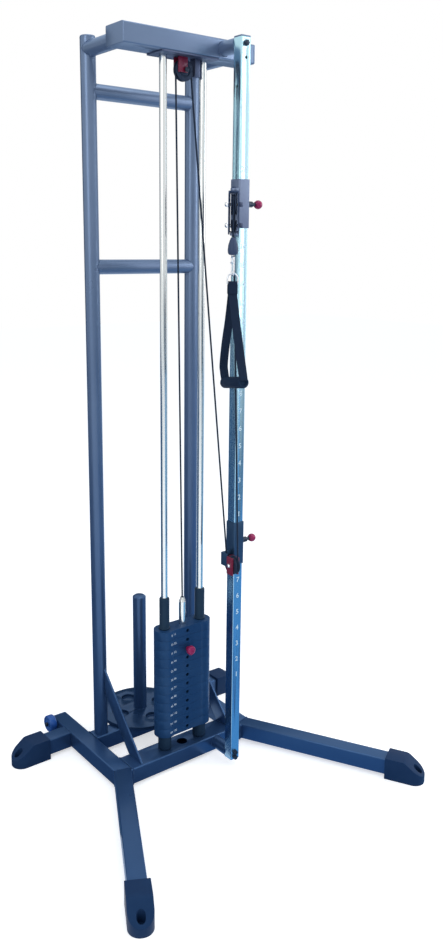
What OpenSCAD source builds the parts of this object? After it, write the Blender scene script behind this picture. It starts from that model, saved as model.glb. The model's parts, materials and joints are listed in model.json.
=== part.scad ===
// Free-standing high-and-low pulley column with one small weight stack.
// Millimetres, +Z up, front towards -Y. The origin lies on the floor, below
// the middle of the machine's bounding box.

/* [Base frame] */
// Overall width of the base frame, over both side rails
base_w = 506; // [460:2:600]
// Distance from the plane of the uprights to the front face of the front rail
base_front = 232; // [215:1:280]
// Distance from the plane of the uprights to the back ends of the side rails
base_back = 177; // [165:1:240]
// Side of the square tube used for rails and legs
rail = 50; // [44:1:56]
// Wall of the square and rectangular tubes
rail_wall = 2.5; // [2:0.5:4]
// Outer corner radius of the square and rectangular tubes
rail_r = 4; // [3:0.5:6]
// Height of the underside of the rails above the floor
rail_lift = 10; // [6:1:16]
// Depth of the wide front rail, front to back
front_rail_d = 76; // [70:1:90]

/* [Legs and feet] */
// Length of the front legs, from the middle of the mitre to the rubber foot
front_leg = 472; // [327:5:582]
// Angle of the front legs, outwards from straight ahead
splay = 28; // [20:1:40]
// Length of the rear legs, from the side rail to the rubber foot
rear_leg = 76; // [60:1:200]
// Distance from the plane of the uprights to the front face of the rear legs
rear_leg_y = 51; // [45:1:60]
// Length of the part of a rubber foot that shows
foot_len = 113; // [105:1:140]
// Width of a rubber foot
foot_w = 65; // [60:1:70]
// Height of a rubber foot
foot_h = 67; // [64:1:72]
// Height of the tip of a foot's sloping nose
toe_h = 25; // [20:1:30]

/* [Uprights] */
// Outer diameter of the round tubes
tube_d = 42.4; // [38:0.1:48.4]
// Wall of the round tubes
tube_wall = 2.6; // [2:0.1:4]
// Distance of the uprights' axes in from the outer faces of the side rails
upright_inset = 79; // [74:1:90]
// Height of the tops of the uprights, under their caps
upright_top = 2098; // [1898:5:2298]
// Drop from the upright tops to the axis of the upper crossbar
upper_bar_drop = 134; // [100:1:200]
// Height of the axis of the lower crossbar
lower_bar_z = 1498; // [1200:2:1700]
// Length of a flat brace's foot along the top of the front rail
brace_w = 70; // [50:1:76]
// Thickness of the flat braces
brace_t = 6; // [5:0.5:10]
// Height at which the braces meet the uprights
brace_z = 279; // [240:1:320]

/* [Top beam] */
// Length of the top beam past the axis of each upright
beam_over = 38; // [30:1:80]
// Depth of the top beam, front to back
beam_d = 80; // [72:1:90]
// Height of the top beam's section
beam_h = 50; // [44:1:60]
// Drop from the upright tops to the top face of the beam
beam_drop = 5; // [4:1:10]
// Thickness of the plate under the beam that holds the guide rods
rod_plate_t = 4; // [3:0.5:6]

/* [Weight storage] */
// Diameter of the storage disc
disc_d = 262; // [220:2:270]
// Thickness of the storage disc
disc_t = 12; // [8:0.5:14]
// Diameter of the four holes in the disc
disc_hole_d = 46; // [25:1:50]
// Radius of the circle on which those holes lie
disc_hole_r = 73; // [66:1:85]
// Height of the top of the storage post above the disc
post_len = 392; // [200:2:600]
// Distance of the post behind the plane of the uprights
post_y = 40; // [36:1:44]

/* [Weight stack] */
// Distance of the stack's middle plane in front of the uprights
stack_front = 194; // [186:1:200]
// Distance between the axes of the two guide rods
rod_gap = 130; // [124:1:140]
// Diameter of the guide rods
rod_d = 20; // [18:0.5:22]
// Number of plates, the top one included
plates = 12; // [10:1:14]
// Number of plates that hang on the pin, the top one included
plates_up = 3; // [2:1:5]
// Thickness of one plate
plate_t = 28; // [24:0.5:32]
// Air between two plates
plate_air = 0.4; // [0.3:0.1:1]
// Radius of the round ends of a plate
plate_end_r = 32; // [28:0.5:36]
// Depth of the straight middle of a plate
plate_mid_d = 56; // [50:1:60]
// Diameter of the pin holes through the plates
pin_hole_d = 10.4; // [9.4:0.1:12]
// Diameter of the selector pin
pin_d = 9; // [7:0.1:9.2]
// Diameter of the selector stem
stem_d = 21; // [19:0.5:24]
// Length of the stem above the top plate
stem_up = 84; // [60:1:120]
// Length of the guide sleeves above the top plate
sleeve_up = 98; // [60:1:140]
// Outer diameter of the guide sleeves
sleeve_d = 30; // [28:0.5:34]
// Height of the rubber bumpers under the stack
bumper_h = 50; // [40:1:60]
// Diameter of the rubber bumpers
bumper_d = 40; // [34:1:46]

/* [Column] */
// Distance of the column to the right of the machine's middle
column_x = 105; // [100:1:112]
// Distance of the column's axis in front of the stack's middle plane
column_front = 115; // [110:1:130]
// Width of the column, left to right
column_w = 32; // [30:1:36]
// Depth of the column, front to back
column_d = 32; // [30:1:36]
// Wall of the column
column_wall = 3; // [2:0.5:4]
// Drop from the rails' middle height to the underside of the column
column_foot = 10; // [9:0.5:20]
// Drop from the upright tops to the top of the column, under its cap
column_drop = 15; // [8:1:18]
// Pitch of the pin holes down the column's side
hole_pitch = 50; // [40:1:60]
// Height of the lowest pin hole
hole_low = 318; // [300:1:330]
// Number of pin holes
holes = 30; // [29:1:32]
// Diameter of the pin holes
hole_d = 10.4; // [9:0.1:12]
// Diameter of the round stubs that carry the column
stub_d = 38; // [34:0.5:44]

/* [Carriages] */
// Number, from the bottom, of the hole that the upper carriage sits at
upper_hole = 28; // [26:1:28]
// Number, from the bottom, of the hole that the lower carriage sits at
lower_hole = 9; // [9:1:11]
// Length of each carriage's collar
collar_h = 126; // [110:1:140]
// Wall of a collar
collar_wall = 1.6; // [1.2:0.1:2.4]
// Air between a collar and the column
collar_air = 1; // [0.5:0.1:1.5]
// Diameter of a pop pin's plunger
plunger_d = 9; // [7:0.1:9.4]
// Diameter of a pop pin's ball knob
ball_d = 24; // [20:0.5:28]

/* [Pulleys and cable] */
// Diameter of the cable
cable_d = 5; // [4:0.1:5.6]
// Radius at which the cable runs on the top sheave
top_run_r = 24.5; // [24:0.5:30]
// Drop from the underside of the beam to the top sheave's axle
top_axle_drop = 35; // [34:0.5:44]
// Radius at which the cable runs on the lower sheave
low_run_r = 24; // [22:0.5:26]
// Radius at which the cable runs on the swivel block's main sheave
block_run_r = 24; // [23:0.5:26]
// Radius at which the cable runs on the swivel block's guide sheave
guide_run_r = 11; // [10:0.5:12]
// Width of the sheaves
sheave_w = 14; // [11:0.5:15]
// Diameter of the pulley axles
axle_d = 8; // [7:0.5:10]
// Outer width of the swivel block
block_w = 28; // [25:0.5:32]
// Diameter of the pivot on which the block swivels
pivot_d = 12; // [11:0.5:13]
// Thickness of the lugs that hold the block
lug_t = 8; // [6:0.5:10]

/* [Handle] */
// Length of the rubber stop ball
stop_h = 45; // [40:1:55]
// Greatest diameter of the rubber stop ball
stop_d = 27.5; // [24:0.5:30]
// Width of the webbing strap
strap_w = 25; // [22:1:28]
// Thickness of the webbing strap
strap_t = 2.6; // [2:0.1:3.2]
// Height of the strap handle, from the ring to the middle of the grip
strap_h = 286; // [220:2:300]
// Length of the hand grip
grip_len = 116; // [104:1:124]
// Diameter of the hand grip
grip_d = 31; // [28:0.5:34]
// Angle of the handle about the vertical, from straight ahead
grip_turn = 14; // [0:1:30]
// Tilt of the grip, its near end up
grip_tilt = 8; // [0:1:10]
// Distance of the grip's middle in front of the ring
grip_shift = 18; // [0:1:20]

/* [Transport wheels] */
// Diameter of a transport wheel
wheel_d = 52; // [44:1:60]
// Width of a transport wheel
wheel_w = 23; // [16:1:28]
// Height of the wheels' axle above the floor
wheel_z = 48; // [42:1:50]

/* [Hidden] */
$fn = 48;

// Running clearances and small gaps
run_fit = 0.05;
slide_gap = 0.4;
cable_gap = 0.4;
weld_gap = 0.02;

// Base frame
foot_r = foot_w / 2 - 1;
leg_reach = front_leg + foot_len - foot_r;
mitre_back = 0.4 * rail;
toe_reach = base_front - mitre_back + leg_reach * cos(splay)
    + (foot_w / 2 - foot_r) * sin(splay) + foot_r;
wheel_in = 17;
back_reach = max(base_back, base_back - wheel_in + wheel_d / 2);
up_y = (toe_reach - back_reach) / 2;
rail_mid_z = rail_lift + rail / 2;
rail_top = rail_lift + rail;
front_y = up_y - base_front;
mitre_y = front_y + mitre_back;
front_rail_back = front_y + front_rail_d;
back_y = up_y + base_back;
side_x = base_w / 2 - rail / 2;
inner_x = base_w / 2 - rail;
cap_t = 4;
wheel_x = base_w / 2 + 3 + wheel_w / 2;
wheel_y = back_y - wheel_in;
rear_leg_mid = up_y + rear_leg_y + rail / 2;

// Uprights and beam
up_x = base_w / 2 - upright_inset;
beam_len = 2 * (up_x + beam_over);
tube_r = tube_d / 2;
beam_top = upright_top - beam_drop;
beam_bottom = beam_top - beam_h;
beam_mid_z = beam_top - beam_h / 2;
upper_bar_z = upright_top - upper_bar_drop;
stack_y = up_y - stack_front;
beam_front = stack_y - beam_d / 2;
beam_back = stack_y + beam_d / 2;

// Storage post and disc
store_y = up_y + post_y;
disc_top = rail_top + disc_t;
disc_floor = 2;
tongue_d = 2 * (post_y - rail / 2) + 20;

// Weight stack
rod_x = rod_gap / 2;
pitch_z = plate_t + plate_air;
stack_low = rail_top + bumper_h + plate_air;
stack_top = stack_low + plates * pitch_z - plate_air;
below_pin = plates - plates_up;
pin_z = stack_low + below_pin * pitch_z + plate_t / 2;
rod_plate_z = beam_bottom - rod_plate_t;
stem_top = stack_top + stem_up;
plate_front = stack_y - plate_mid_d / 2;
stem_bore = stem_d / 2 + 1.2;
rod_bore = rod_d / 2 + 1;

// Column and carriages
column_bottom = rail_mid_z - column_foot;
column_top = upright_top - column_drop;
stub_z = rail_mid_z + 4;
bolt_d = 7;
bolt_heights = [beam_mid_z, stub_z + 8, stub_z - 8];
column_r = 2.5;
col_y = stack_y - column_front;
collar_w = column_w + 2 * (collar_air + collar_wall);
collar_d = column_d + 2 * (collar_air + collar_wall);
upper_z = hole_low + (upper_hole - 1) * hole_pitch;
lower_z = hole_low + (lower_hole - 1) * hole_pitch;
collar_left = column_x - collar_w / 2;
collar_right = column_x + collar_w / 2;
collar_front = col_y - collar_d / 2;
column_left = column_x - column_w / 2;
column_right = column_x + column_w / 2;
barrel_len = 23;
barrel_d = 20;
plunger_draw = 1;

// Swivel block: heading of the block's plane, seen from above
heading = 228;
swivel_x = collar_left - 23.5;
swivel_y = collar_front - 9.5;
block_low = upper_z - 81;
block_high = upper_z + 29;
main_z = upper_z - 5;
foot_step = 6;
bridge_t = 3;
rim = 3;
guide_z = block_low + foot_step + bridge_t + 0.5 + rim + guide_run_r;
cheek_t = 3;
lug_r = pivot_d / 2 + 5;
low_lug_z = block_low + foot_step - slide_gap - lug_t;

// Top pulley, lower pulley
top_z = beam_bottom - top_axle_drop;
low_x = collar_left - 21;
low_z = lower_z - 51;
low_y = collar_front - 20;

// Handle
hand_x = swivel_x + 2 * block_run_r * cos(heading);
hand_y = swivel_y + 2 * block_run_r * sin(heading);
stop_top = block_low - 8;
stop_low = stop_top - stop_h;
hook_low = stop_low - 52;
ring_z = hook_low + 6;
ring_half = strap_w / 2 + 2.5;
ring_bar_z = ring_z - ring_half - 10;
grip_z = ring_z - strap_h;

// ---------------------------------------------------------------- profiles

// Rectangle with true round corners
module round_rect(w, d, r) {
    square([w - 2 * r, d], center = true);
    square([w, d - 2 * r], center = true);
    for (x = [-1, 1], y = [-1, 1])
        translate([x * (w / 2 - r), y * (d / 2 - r)])
            circle(r);
}

// Wall of a rectangular tube
module tube_section(w, d, wall, r) {
    difference() {
        round_rect(w, d, r);
        round_rect(w - 2 * wall, d - 2 * wall, max(r - wall, 1));
    }
}

// Slot-shaped outline: two round ends of radius r, a distance apart along X
module stadium(gap, r) {
    square([gap, 2 * r], center = true);
    for (x = [-1, 1])
        translate([x * gap / 2, 0])
            circle(r);
}

// Square tube along Y, from y0 to y1, at rail height
module rail_along_y(x, y0, y1) {
    translate([x, y1, rail_mid_z])
        rotate([90, 0, 0])
            linear_extrude(y1 - y0)
                tube_section(rail, rail, rail_wall, rail_r);
}

// Rectangular tube along X, centred, with its depth along Y
module rail_along_x(len, y_mid, z_mid, d, h) {
    translate([-len / 2, y_mid, z_mid])
        rotate([90, 0, 90])
            linear_extrude(len)
                tube_section(d, h, rail_wall, rail_r);
}

// Round tube standing on the XY plane
module round_tube(len, d, wall) {
    difference() {
        cylinder(h = len, d = d);
        translate([0, 0, -1])
            cylinder(h = len + 2, d = d - 2 * wall);
    }
}

// A copy on the left and one on the right
module both_sides() {
    children();
    mirror([1, 0, 0])
        children();
}

// ------------------------------------------------------------- base frame

// Moves its children to the base corner, the X axis square to the mitre
module at_mitre() {
    translate([side_x, mitre_y, 0])
        rotate([0, 0, splay / 2 - 90])
            children();
}

module side_rail() {
    color("slategray")
        difference() {
            rail_along_y(side_x, mitre_y - rail, back_y - cap_t);
            at_mitre()
                translate([0, -2 * rail, 0])
                    cube([4 * rail, 4 * rail, 2 * rail_top]);
        }
}

module left_side_rail() mirror([1, 0, 0]) side_rail();

module right_side_rail() side_rail();

// Cross rail under the uprights, with the tongue that carries the storage post
module rear_cross_rail() {
    color("slategray") {
        rail_along_x(2 * inner_x, up_y, rail_mid_z, rail, rail);
        translate([0, up_y + rail / 2 + tongue_d / 2, rail_mid_z])
            rotate([90, 0, 0])
                linear_extrude(tongue_d, center = true)
                    tube_section(rail, rail, rail_wall, rail_r);
    }
}

// Solid shape of a base corner, inside which the front rail stops
module corner_solid() {
    low = mitre_y - rail / 2 * tan(splay / 2);
    linear_extrude(2 * rail_top)
        polygon([[inner_x, front_rail_back + 1], [inner_x, low],
            [inner_x + rail * sin(splay), low - rail * cos(splay)],
            [base_w, low - rail * cos(splay)], [base_w, front_rail_back + 1]]);
}

// Wide rail between the two base corners, welded to rails and legs
module front_rail() {
    color("slategray")
        difference() {
            rail_along_x(2 * inner_x + rail / 2, (front_y + front_rail_back) / 2,
                rail_mid_z, front_rail_d, rail);
            both_sides()
                corner_solid();
            translate([0, stack_y, rail_lift - 1])
                cylinder(h = rail + 2, d = 33);
        }
}

// Moves its children from the X axis onto the right front leg's centre line
module along_front_leg() {
    translate([side_x, mitre_y, 0])
        rotate([0, 0, splay - 90])
            children();
}

module front_leg_tube() {
    color("slategray")
        difference() {
            along_front_leg()
                translate([-rail, 0, rail_mid_z])
                    rotate([90, 0, 90])
                        linear_extrude(rail + front_leg + foot_len / 2)
                            tube_section(rail, rail, rail_wall, rail_r);
            at_mitre()
                translate([-4 * rail, -2 * rail, 0])
                    cube([4 * rail, 4 * rail, 2 * rail_top]);
        }
}

module front_legs() both_sides() front_leg_tube();

module rear_legs() {
    color("slategray")
        both_sides()
            translate([base_w / 2, rear_leg_mid, rail_mid_z])
                rotate([90, 0, 90])
                    linear_extrude(rear_leg + foot_len / 2)
                        tube_section(rail, rail, rail_wall, rail_r);
}

// Rubber foot: a sleeve over the tube end and a sloping nose, along +X from 0
module foot() {
    nose = foot_len * 0.51;
    slope = atan2(foot_h - toe_h, foot_len - nose);
    bend = 22;
    back = bend * tan(slope / 2);
    difference() {
        intersection() {
            linear_extrude(foot_h) {
                translate([0, -foot_w / 2])
                    square([foot_len - foot_r, foot_w]);
                translate([foot_len - foot_r, -foot_w / 2 + foot_r])
                    square([foot_r, foot_w - 2 * foot_r]);
                for (y = [-1, 1])
                    translate([foot_len - foot_r, y * (foot_w / 2 - foot_r)])
                        circle(foot_r);
            }
            translate([0, foot_w, 0])
                rotate([90, 0, 0])
                    linear_extrude(2 * foot_w)
                        polygon(concat([[0, 0], [foot_len, 0], [foot_len, toe_h]],
                            [for (k = [4 : -1 : 0])
                                [nose - back + bend * sin(slope * k / 4),
                                    foot_h - bend + bend * cos(slope * k / 4)]],
                            [[0, foot_h]]));
        }
        translate([-1, 0, rail_mid_z])
            rotate([90, 0, 90])
                linear_extrude(foot_len / 2 + 1)
                    round_rect(rail, rail, rail_r);
        // upright pocket for the levelling screw
        translate([foot_len - 21, 0, toe_h - 11])
            linear_extrude(foot_h)
                stadium(4, 11);
    }
}

module front_feet() {
    color([0.09, 0.1, 0.13])
        both_sides()
            along_front_leg()
                translate([front_leg, 0, 0])
                    foot();
}

module rear_feet() {
    color([0.09, 0.1, 0.13])
        both_sides()
            translate([base_w / 2 + rear_leg, rear_leg_mid, 0])
                foot();
}

// -------------------------------------------------------- uprights and top

module upright() {
    color("slategray")
        translate([up_x, up_y, rail_top])
            round_tube(upright_top - rail_top, tube_d, tube_wall);
}

module left_upright() mirror([1, 0, 0]) upright();

module right_upright() upright();

// Cutters that cope a tube's end round the uprights
module upright_cutters() {
    both_sides()
        translate([up_x, up_y, 0])
            cylinder(h = 2 * upright_top, d = tube_d + 2 * weld_gap);
}

module crossbars() {
    color("slategray")
        difference() {
            for (z = [upper_bar_z, lower_bar_z])
                translate([-up_x, up_y, z])
                    rotate([0, 90, 0])
                        round_tube(2 * up_x, tube_d - 1, tube_wall);
            upright_cutters();
        }
}

module top_arms() {
    color("slategray")
        difference() {
            both_sides()
                translate([up_x, up_y, beam_mid_z])
                    rotate([90, 0, 0])
                        round_tube(up_y - beam_back, tube_d - 1, tube_wall);
            upright_cutters();
        }
}

module top_beam() {
    color("slategray")
        difference() {
            rail_along_x(beam_len - 2 * cap_t, stack_y, beam_mid_z, beam_d, beam_h);
            for (x = [-rod_x, rod_x])
                translate([x, stack_y, beam_bottom - 1])
                    cylinder(h = rail_wall + 2, d = rod_d + 2);
        }
}

// Push-in caps: uprights, beam ends, side rail ends and column top
module end_caps() {
    color("slategray") {
        both_sides() {
            translate([up_x, up_y, upright_top])
                cylinder(h = cap_t, d1 = tube_d, d2 = tube_d - 3);
            translate([beam_len / 2 - cap_t, stack_y, beam_mid_z])
                rotate([90, 0, 90])
                    linear_extrude(cap_t)
                        round_rect(beam_d, beam_h, rail_r);
            translate([side_x, back_y, rail_mid_z])
                rotate([90, 0, 0])
                    linear_extrude(cap_t)
                        round_rect(rail, rail, rail_r);
        }
        translate([column_x, col_y, column_top])
            linear_extrude(cap_t)
                round_rect(column_w, column_d, column_r);
    }
}

// Flat bars from the uprights down onto the front rail
module braces() {
    foot_front = front_y + 6;
    foot_back = min(foot_front + brace_w, front_rail_back);
    top_y = up_y - tube_r / 2;
    steep = (brace_z - rail_top) / (up_y - tube_r - foot_front);
    color("slategray")
        both_sides()
            difference() {
                translate([up_x - brace_t - 3, 0, 0])
                    rotate([90, 0, 90])
                        linear_extrude(brace_t)
                            polygon([[foot_front, rail_top], [foot_back, rail_top],
                                [top_y, rail_top + steep * (top_y - foot_back)],
                                [top_y, rail_top + steep * (top_y - foot_front)]]);
                translate([up_x, up_y, 0])
                    cylinder(h = 2 * brace_z, d = tube_d + 2 * weld_gap);
            }
}

// -------------------------------------------------------- weight storage

module storage_disc() {
    color([0.3, 0.32, 0.36])
        translate([0, store_y, rail_top])
            difference() {
                cylinder(h = disc_t, d = disc_d, $fn = 96);
                for (a = [0 : 90 : 270])
                    rotate([0, 0, a])
                        translate([disc_hole_r, 0, disc_floor])
                            cylinder(h = disc_t, d = disc_hole_d);
                both_sides()
                    translate([up_x, -post_y, -1])
                        cylinder(h = disc_t + 2, d = tube_d + 2);
            }
}

// Post with a domed steel cap welded on
module storage_post() {
    dome = 5;
    color("slategray")
        translate([0, store_y, disc_top])
            rotate_extrude()
                polygon([[0, 0], [tube_r, 0], [tube_r, post_len - dome],
                    [tube_r - dome, post_len - 1], [tube_r - 2 * dome, post_len], [0, post_len]]);
}

// ----------------------------------------------------------- weight stack

module guide_rods() {
    color("gainsboro")
        for (x = [-rod_x, rod_x])
            translate([x, stack_y, rail_top + weld_gap])
                cylinder(h = beam_bottom + rail_wall - rail_top, d = rod_d);
}

// Plate under the beam: it clamps both rods and carries the top pulley
module rod_plate() {
    color([0.2, 0.21, 0.25])
        difference() {
            translate([0, stack_y, rod_plate_z])
                linear_extrude(rod_plate_t - weld_gap)
                    round_rect(rod_gap + 54, beam_d - 2, 6);
            for (x = [-rod_x, rod_x])
                translate([x, stack_y, rod_plate_z - 1])
                    cylinder(h = rod_plate_t + 2, d = rod_d + 2 * run_fit);
        }
}

module bumpers() {
    color([0.07, 0.07, 0.08])
        for (x = [-rod_x, rod_x])
            translate([x, stack_y, rail_top])
                rotate_extrude()
                    polygon([[rod_d / 2 + slide_gap, 0], [bumper_d / 2 - 2, 0],
                        [bumper_d / 2, 4], [bumper_d / 2, bumper_h - 6],
                        [bumper_d / 2 - 4, bumper_h], [rod_d / 2 + slide_gap, bumper_h]]);
}

// Outline of a plate: a straight middle with round ends about the rods
module plate_outline() {
    square([rod_gap - 14, plate_mid_d], center = true);
    for (x = [-rod_x, rod_x])
        translate([x, 0])
            circle(plate_end_r);
}

// One plate, its underside at z, with rod bores, a stem bore and a pin hole
module plate(z) {
    translate([0, stack_y, z])
        difference() {
            linear_extrude(plate_t)
                plate_outline();
            for (x = [-rod_x, rod_x])
                translate([x, 0, -1])
                    cylinder(h = plate_t + 2, r = rod_bore);
            translate([0, 0, -1])
                cylinder(h = plate_t + 2, r = stem_bore);
            translate([0, 0, plate_t / 2])
                rotate([90, 0, 0])
                    cylinder(h = plate_mid_d, d = pin_hole_d);
        }
}

module lower_plates() {
    color([0.17, 0.18, 0.21])
        for (i = [0 : below_pin - 1])
            plate(stack_low + i * pitch_z);
}

module lifted_plates() {
    color([0.17, 0.18, 0.21])
        for (i = [below_pin : plates - 2])
            plate(stack_low + i * pitch_z);
}

// The top plate is fixed to the stem and carries the guide sleeves
module top_plate() {
    color([0.22, 0.23, 0.26])
        translate([0, stack_y, stack_top - plate_t])
            difference() {
                linear_extrude(plate_t)
                    plate_outline();
                for (x = [-rod_x, rod_x])
                    translate([x, 0, -1])
                        cylinder(h = plate_t + 2, r = rod_bore);
                translate([0, 0, -1])
                    cylinder(h = plate_t + 2, d = stem_d + 2 * weld_gap);
                translate([0, 0, plate_t / 2])
                    rotate([90, 0, 0])
                        translate([0, 0, stem_d / 2 + 1])
                            cylinder(h = plate_mid_d, d = pin_hole_d);
            }
}

// Selector stem with one cross hole for each plate, and a cable eye on top
module selector_stem() {
    color("silver")
        translate([0, stack_y, 0])
            difference() {
                union() {
                    translate([0, 0, stack_low + 2])
                        cylinder(h = stem_top - 14 - stack_low - 2, d = stem_d);
                    translate([0, 0, stem_top - 14])
                        cylinder(h = 14, d1 = stem_d, d2 = stem_d - 9);
                }
                for (i = [0 : plates - 2])
                    translate([0, stem_d, stack_low + i * pitch_z + plate_t / 2])
                        rotate([90, 0, 0])
                            cylinder(h = 2 * stem_d, d = pin_hole_d);
            }
}

module guide_sleeves() {
    color([0.08, 0.08, 0.1])
        for (x = [-rod_x, rod_x])
            translate([x, stack_y, stack_top])
                rotate_extrude()
                    polygon([[rod_d / 2 + slide_gap, 0], [sleeve_d / 2 + 2, 0],
                        [sleeve_d / 2 + 2, 5], [sleeve_d / 2, 5],
                        [sleeve_d / 2, sleeve_up - 3], [sleeve_d / 2 - 2, sleeve_up],
                        [rod_d / 2 + slide_gap, sleeve_up]]);
}

// Selector pin: a steel shank through plate and stem, and a mushroom knob
module selector_pin() {
    knob_l = 24;
    knob_r = 14;
    face = plate_mid_d / 2 + 1;
    translate([0, stack_y, pin_z])
        rotate([90, 0, 0]) {
            color("silver")
                translate([0, 0, -stem_d / 2])
                    cylinder(h = stem_d / 2 + face, d = pin_d);
            color("crimson")
                translate([0, 0, face])
                    rotate_extrude()
                        polygon([[0, 0], [7, 0], [7, 6], [knob_r - 1, 11], [knob_r, 14],
                            [knob_r, 19], [knob_r - 3, knob_l - 1], [knob_r - 6, knob_l],
                            [0, knob_l]]);
        }
}

// ----------------------------------------------------------------- column

module column() {
    color("gainsboro")
        difference() {
            translate([column_x, col_y, column_bottom])
                linear_extrude(column_top - column_bottom)
                    tube_section(column_w, column_d, column_wall, column_r);
            for (i = [0 : holes - 1])
                translate([column_right - column_wall - 1, col_y, hole_low + i * hole_pitch])
                    rotate([0, 90, 0])
                        cylinder(h = column_wall + 2, d = hole_d);
            // one hole through the left wall near the top
            translate([column_left - 1, col_y, column_top - 120])
                rotate([0, 90, 0])
                    cylinder(h = column_wall + 2, d = 8);
            // one plain hole in the front wall near the top
            translate([column_x, col_y - column_d / 2 + column_wall + 1, column_top - 50])
                rotate([90, 0, 0])
                    cylinder(h = column_wall + 2, d = 8);
            // clearance holes for the bolts into the stubs
            for (z = bolt_heights)
                translate([column_x, col_y - column_d / 2 + column_wall + 1, z])
                    rotate([90, 0, 0])
                        cylinder(h = column_wall + 2, d = bolt_d + 2 * weld_gap);
        }
}

// Round stubs that stand the column off the beam and off the front rail
module column_stubs() {
    col_back = col_y + column_d / 2;
    color("slategray") {
        translate([column_x, beam_front, beam_mid_z])
            rotate([90, 0, 0])
                cylinder(h = beam_front - col_back, d = stub_d);
        translate([column_x, front_y, stub_z])
            rotate([90, 0, 0])
                cylinder(h = front_y - col_back, d = stub_d);
    }
}

// Hexagon-headed bolt along -Y, its washer face at the origin
module hex_bolt(head, len, d) {
    rotate([90, 0, 0]) {
        cylinder(h = head, d = 2.1 * d, $fn = 6);
        translate([0, 0, -len])
            cylinder(h = len, d = d);
    }
}

// Bolts of the frame: column to stubs, top pulley axle, transport wheel axles
module frame_bolts() {
    color([0.16, 0.16, 0.2]) {
        for (z = bolt_heights)
            translate([column_x, col_y - column_d / 2, z])
                hex_bolt(6, column_wall, bolt_d);
        translate([0, stack_y - sheave_w / 2 - 8, top_z])
            rotate([-90, 0, 0]) {
                cylinder(h = sheave_w + 22, d = axle_d);
                translate([0, 0, -4])
                    cylinder(h = 4, d = 14, $fn = 6);
            }
        both_sides()
            translate([base_w / 2, wheel_y, wheel_z])
                rotate([0, 90, 0]) {
                    cylinder(h = wheel_w + 9, d = axle_d);
                    translate([0, 0, wheel_w + 4])
                        cylinder(h = 5, d = 15, $fn = 6);
                }
    }
}

// ------------------------------------------------------------ top pulley

// Sheave about the Z axis: a round groove of the cable's size, and thin rims
module sheave(run_r) {
    groove = cable_d / 2 + 0.5;
    rotate_extrude()
        difference() {
            translate([axle_d / 2 + run_fit, -sheave_w / 2])
                square([run_r + rim - axle_d / 2 - run_fit, sheave_w]);
            translate([run_r, 0])
                circle(groove);
            polygon([[run_r, -groove], [run_r + rim, -groove - 1.7], [run_r + rim + 1, 0],
                [run_r + rim, groove + 1.7], [run_r, groove]]);
            for (y = [-sheave_w / 2, sheave_w / 2])
                translate([run_r * 0.62, y])
                    circle(2);
        }
}

module top_sheave() {
    color([0.12, 0.12, 0.15])
        translate([0, stack_y, top_z])
            rotate([90, 0, 0])
                sheave(top_run_r);
}

// Red bent strap that hangs the top sheave from the rod plate
module top_pulley_bracket() {
    inside = sheave_w / 2 + 1;
    strap = 4;
    color("firebrick")
        difference() {
            for (side = [-1, 1])
                translate([-23, stack_y + side * (inside + strap / 2) - strap / 2, top_z - 7])
                    cube([29, strap, rod_plate_z - top_z + 7 - weld_gap]);
            translate([0, stack_y + 2 * inside, top_z])
                rotate([90, 0, 0])
                    cylinder(h = 4 * inside, d = axle_d + 2 * weld_gap);
        }
}

// Steel block beside the sheave that keeps the cable in its groove
module cable_keeper() {
    color([0.4, 0.42, 0.47])
        translate([top_run_r + cable_d / 2 + 4, stack_y - 12, top_z - 14])
            cube([16, 24, rod_plate_z - top_z + 14 - weld_gap]);
}

// ------------------------------------------------------- transport wheels

module wheel() {
    hub = 3;
    color("royalblue")
        translate([wheel_x, wheel_y, wheel_z])
            rotate([0, 90, 0])
                rotate_extrude()
                    polygon([[axle_d / 2 + run_fit, -wheel_w / 2 + hub / 3],
                        [10, -wheel_w / 2 + hub / 3], [11, -wheel_w / 2 + hub],
                        [wheel_d / 2 - 6, -wheel_w / 2 + hub], [wheel_d / 2 - 5, -wheel_w / 2],
                        [wheel_d / 2 - 2, -wheel_w / 2], [wheel_d / 2, -wheel_w / 2 + 3],
                        [wheel_d / 2, wheel_w / 2 - 3], [wheel_d / 2 - 2, wheel_w / 2],
                        [wheel_d / 2 - 5, wheel_w / 2], [wheel_d / 2 - 6, wheel_w / 2 - hub],
                        [11, wheel_w / 2 - hub], [10, wheel_w / 2 - hub / 3],
                        [axle_d / 2 + run_fit, wheel_w / 2 - hub / 3]]);
}

module left_wheel() mirror([1, 0, 0]) wheel();

module right_wheel() wheel();

// -------------------------------------------------------------- carriages

// Collar round the column, its pop pin bore at mid height on the right
module collar(z) {
    difference() {
        translate([column_x, col_y, z - collar_h / 2])
            linear_extrude(collar_h)
                tube_section(collar_w, collar_d, collar_wall, column_r + collar_air);
        translate([collar_right - collar_wall - 1, col_y, z])
            rotate([0, 90, 0])
                cylinder(h = collar_wall + 2, d = plunger_d + 2 * run_fit);
    }
}

// The lower collar carries an angle that reaches round behind the sheave
module lower_collar() {
    left = low_x - sheave_w / 2 - 4.5;
    guard_back = low_y + low_run_r / 2;
    color([0.35, 0.4, 0.5]) {
        collar(lower_z);
        translate([left, guard_back, low_z - 7])
            cube([3.5, col_y - guard_back, 38]);
        translate([left, col_y - 4, low_z - 7])
            cube([collar_left - left, 4, 38]);
    }
}

// Flat lug with a round eye about the swivel axis, welded to the collar
module lug(z) {
    difference() {
        translate([0, 0, z])
            linear_extrude(lug_t)
                difference() {
                    union() {
                        translate([swivel_x, swivel_y])
                            circle(lug_r);
                        polygon([[swivel_x - 2, swivel_y + lug_r - 0.5],
                            [collar_left, collar_front + 22],
                            [collar_left, collar_front + 2],
                            [swivel_x + lug_r - 0.5, swivel_y - 2]]);
                    }
                    translate([column_x, col_y])
                        square([collar_w, collar_d], center = true);
                }
        translate([swivel_x, swivel_y, z - 1])
            cylinder(h = lug_t + 2, d = pivot_d + 2 * run_fit);
    }
}

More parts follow.
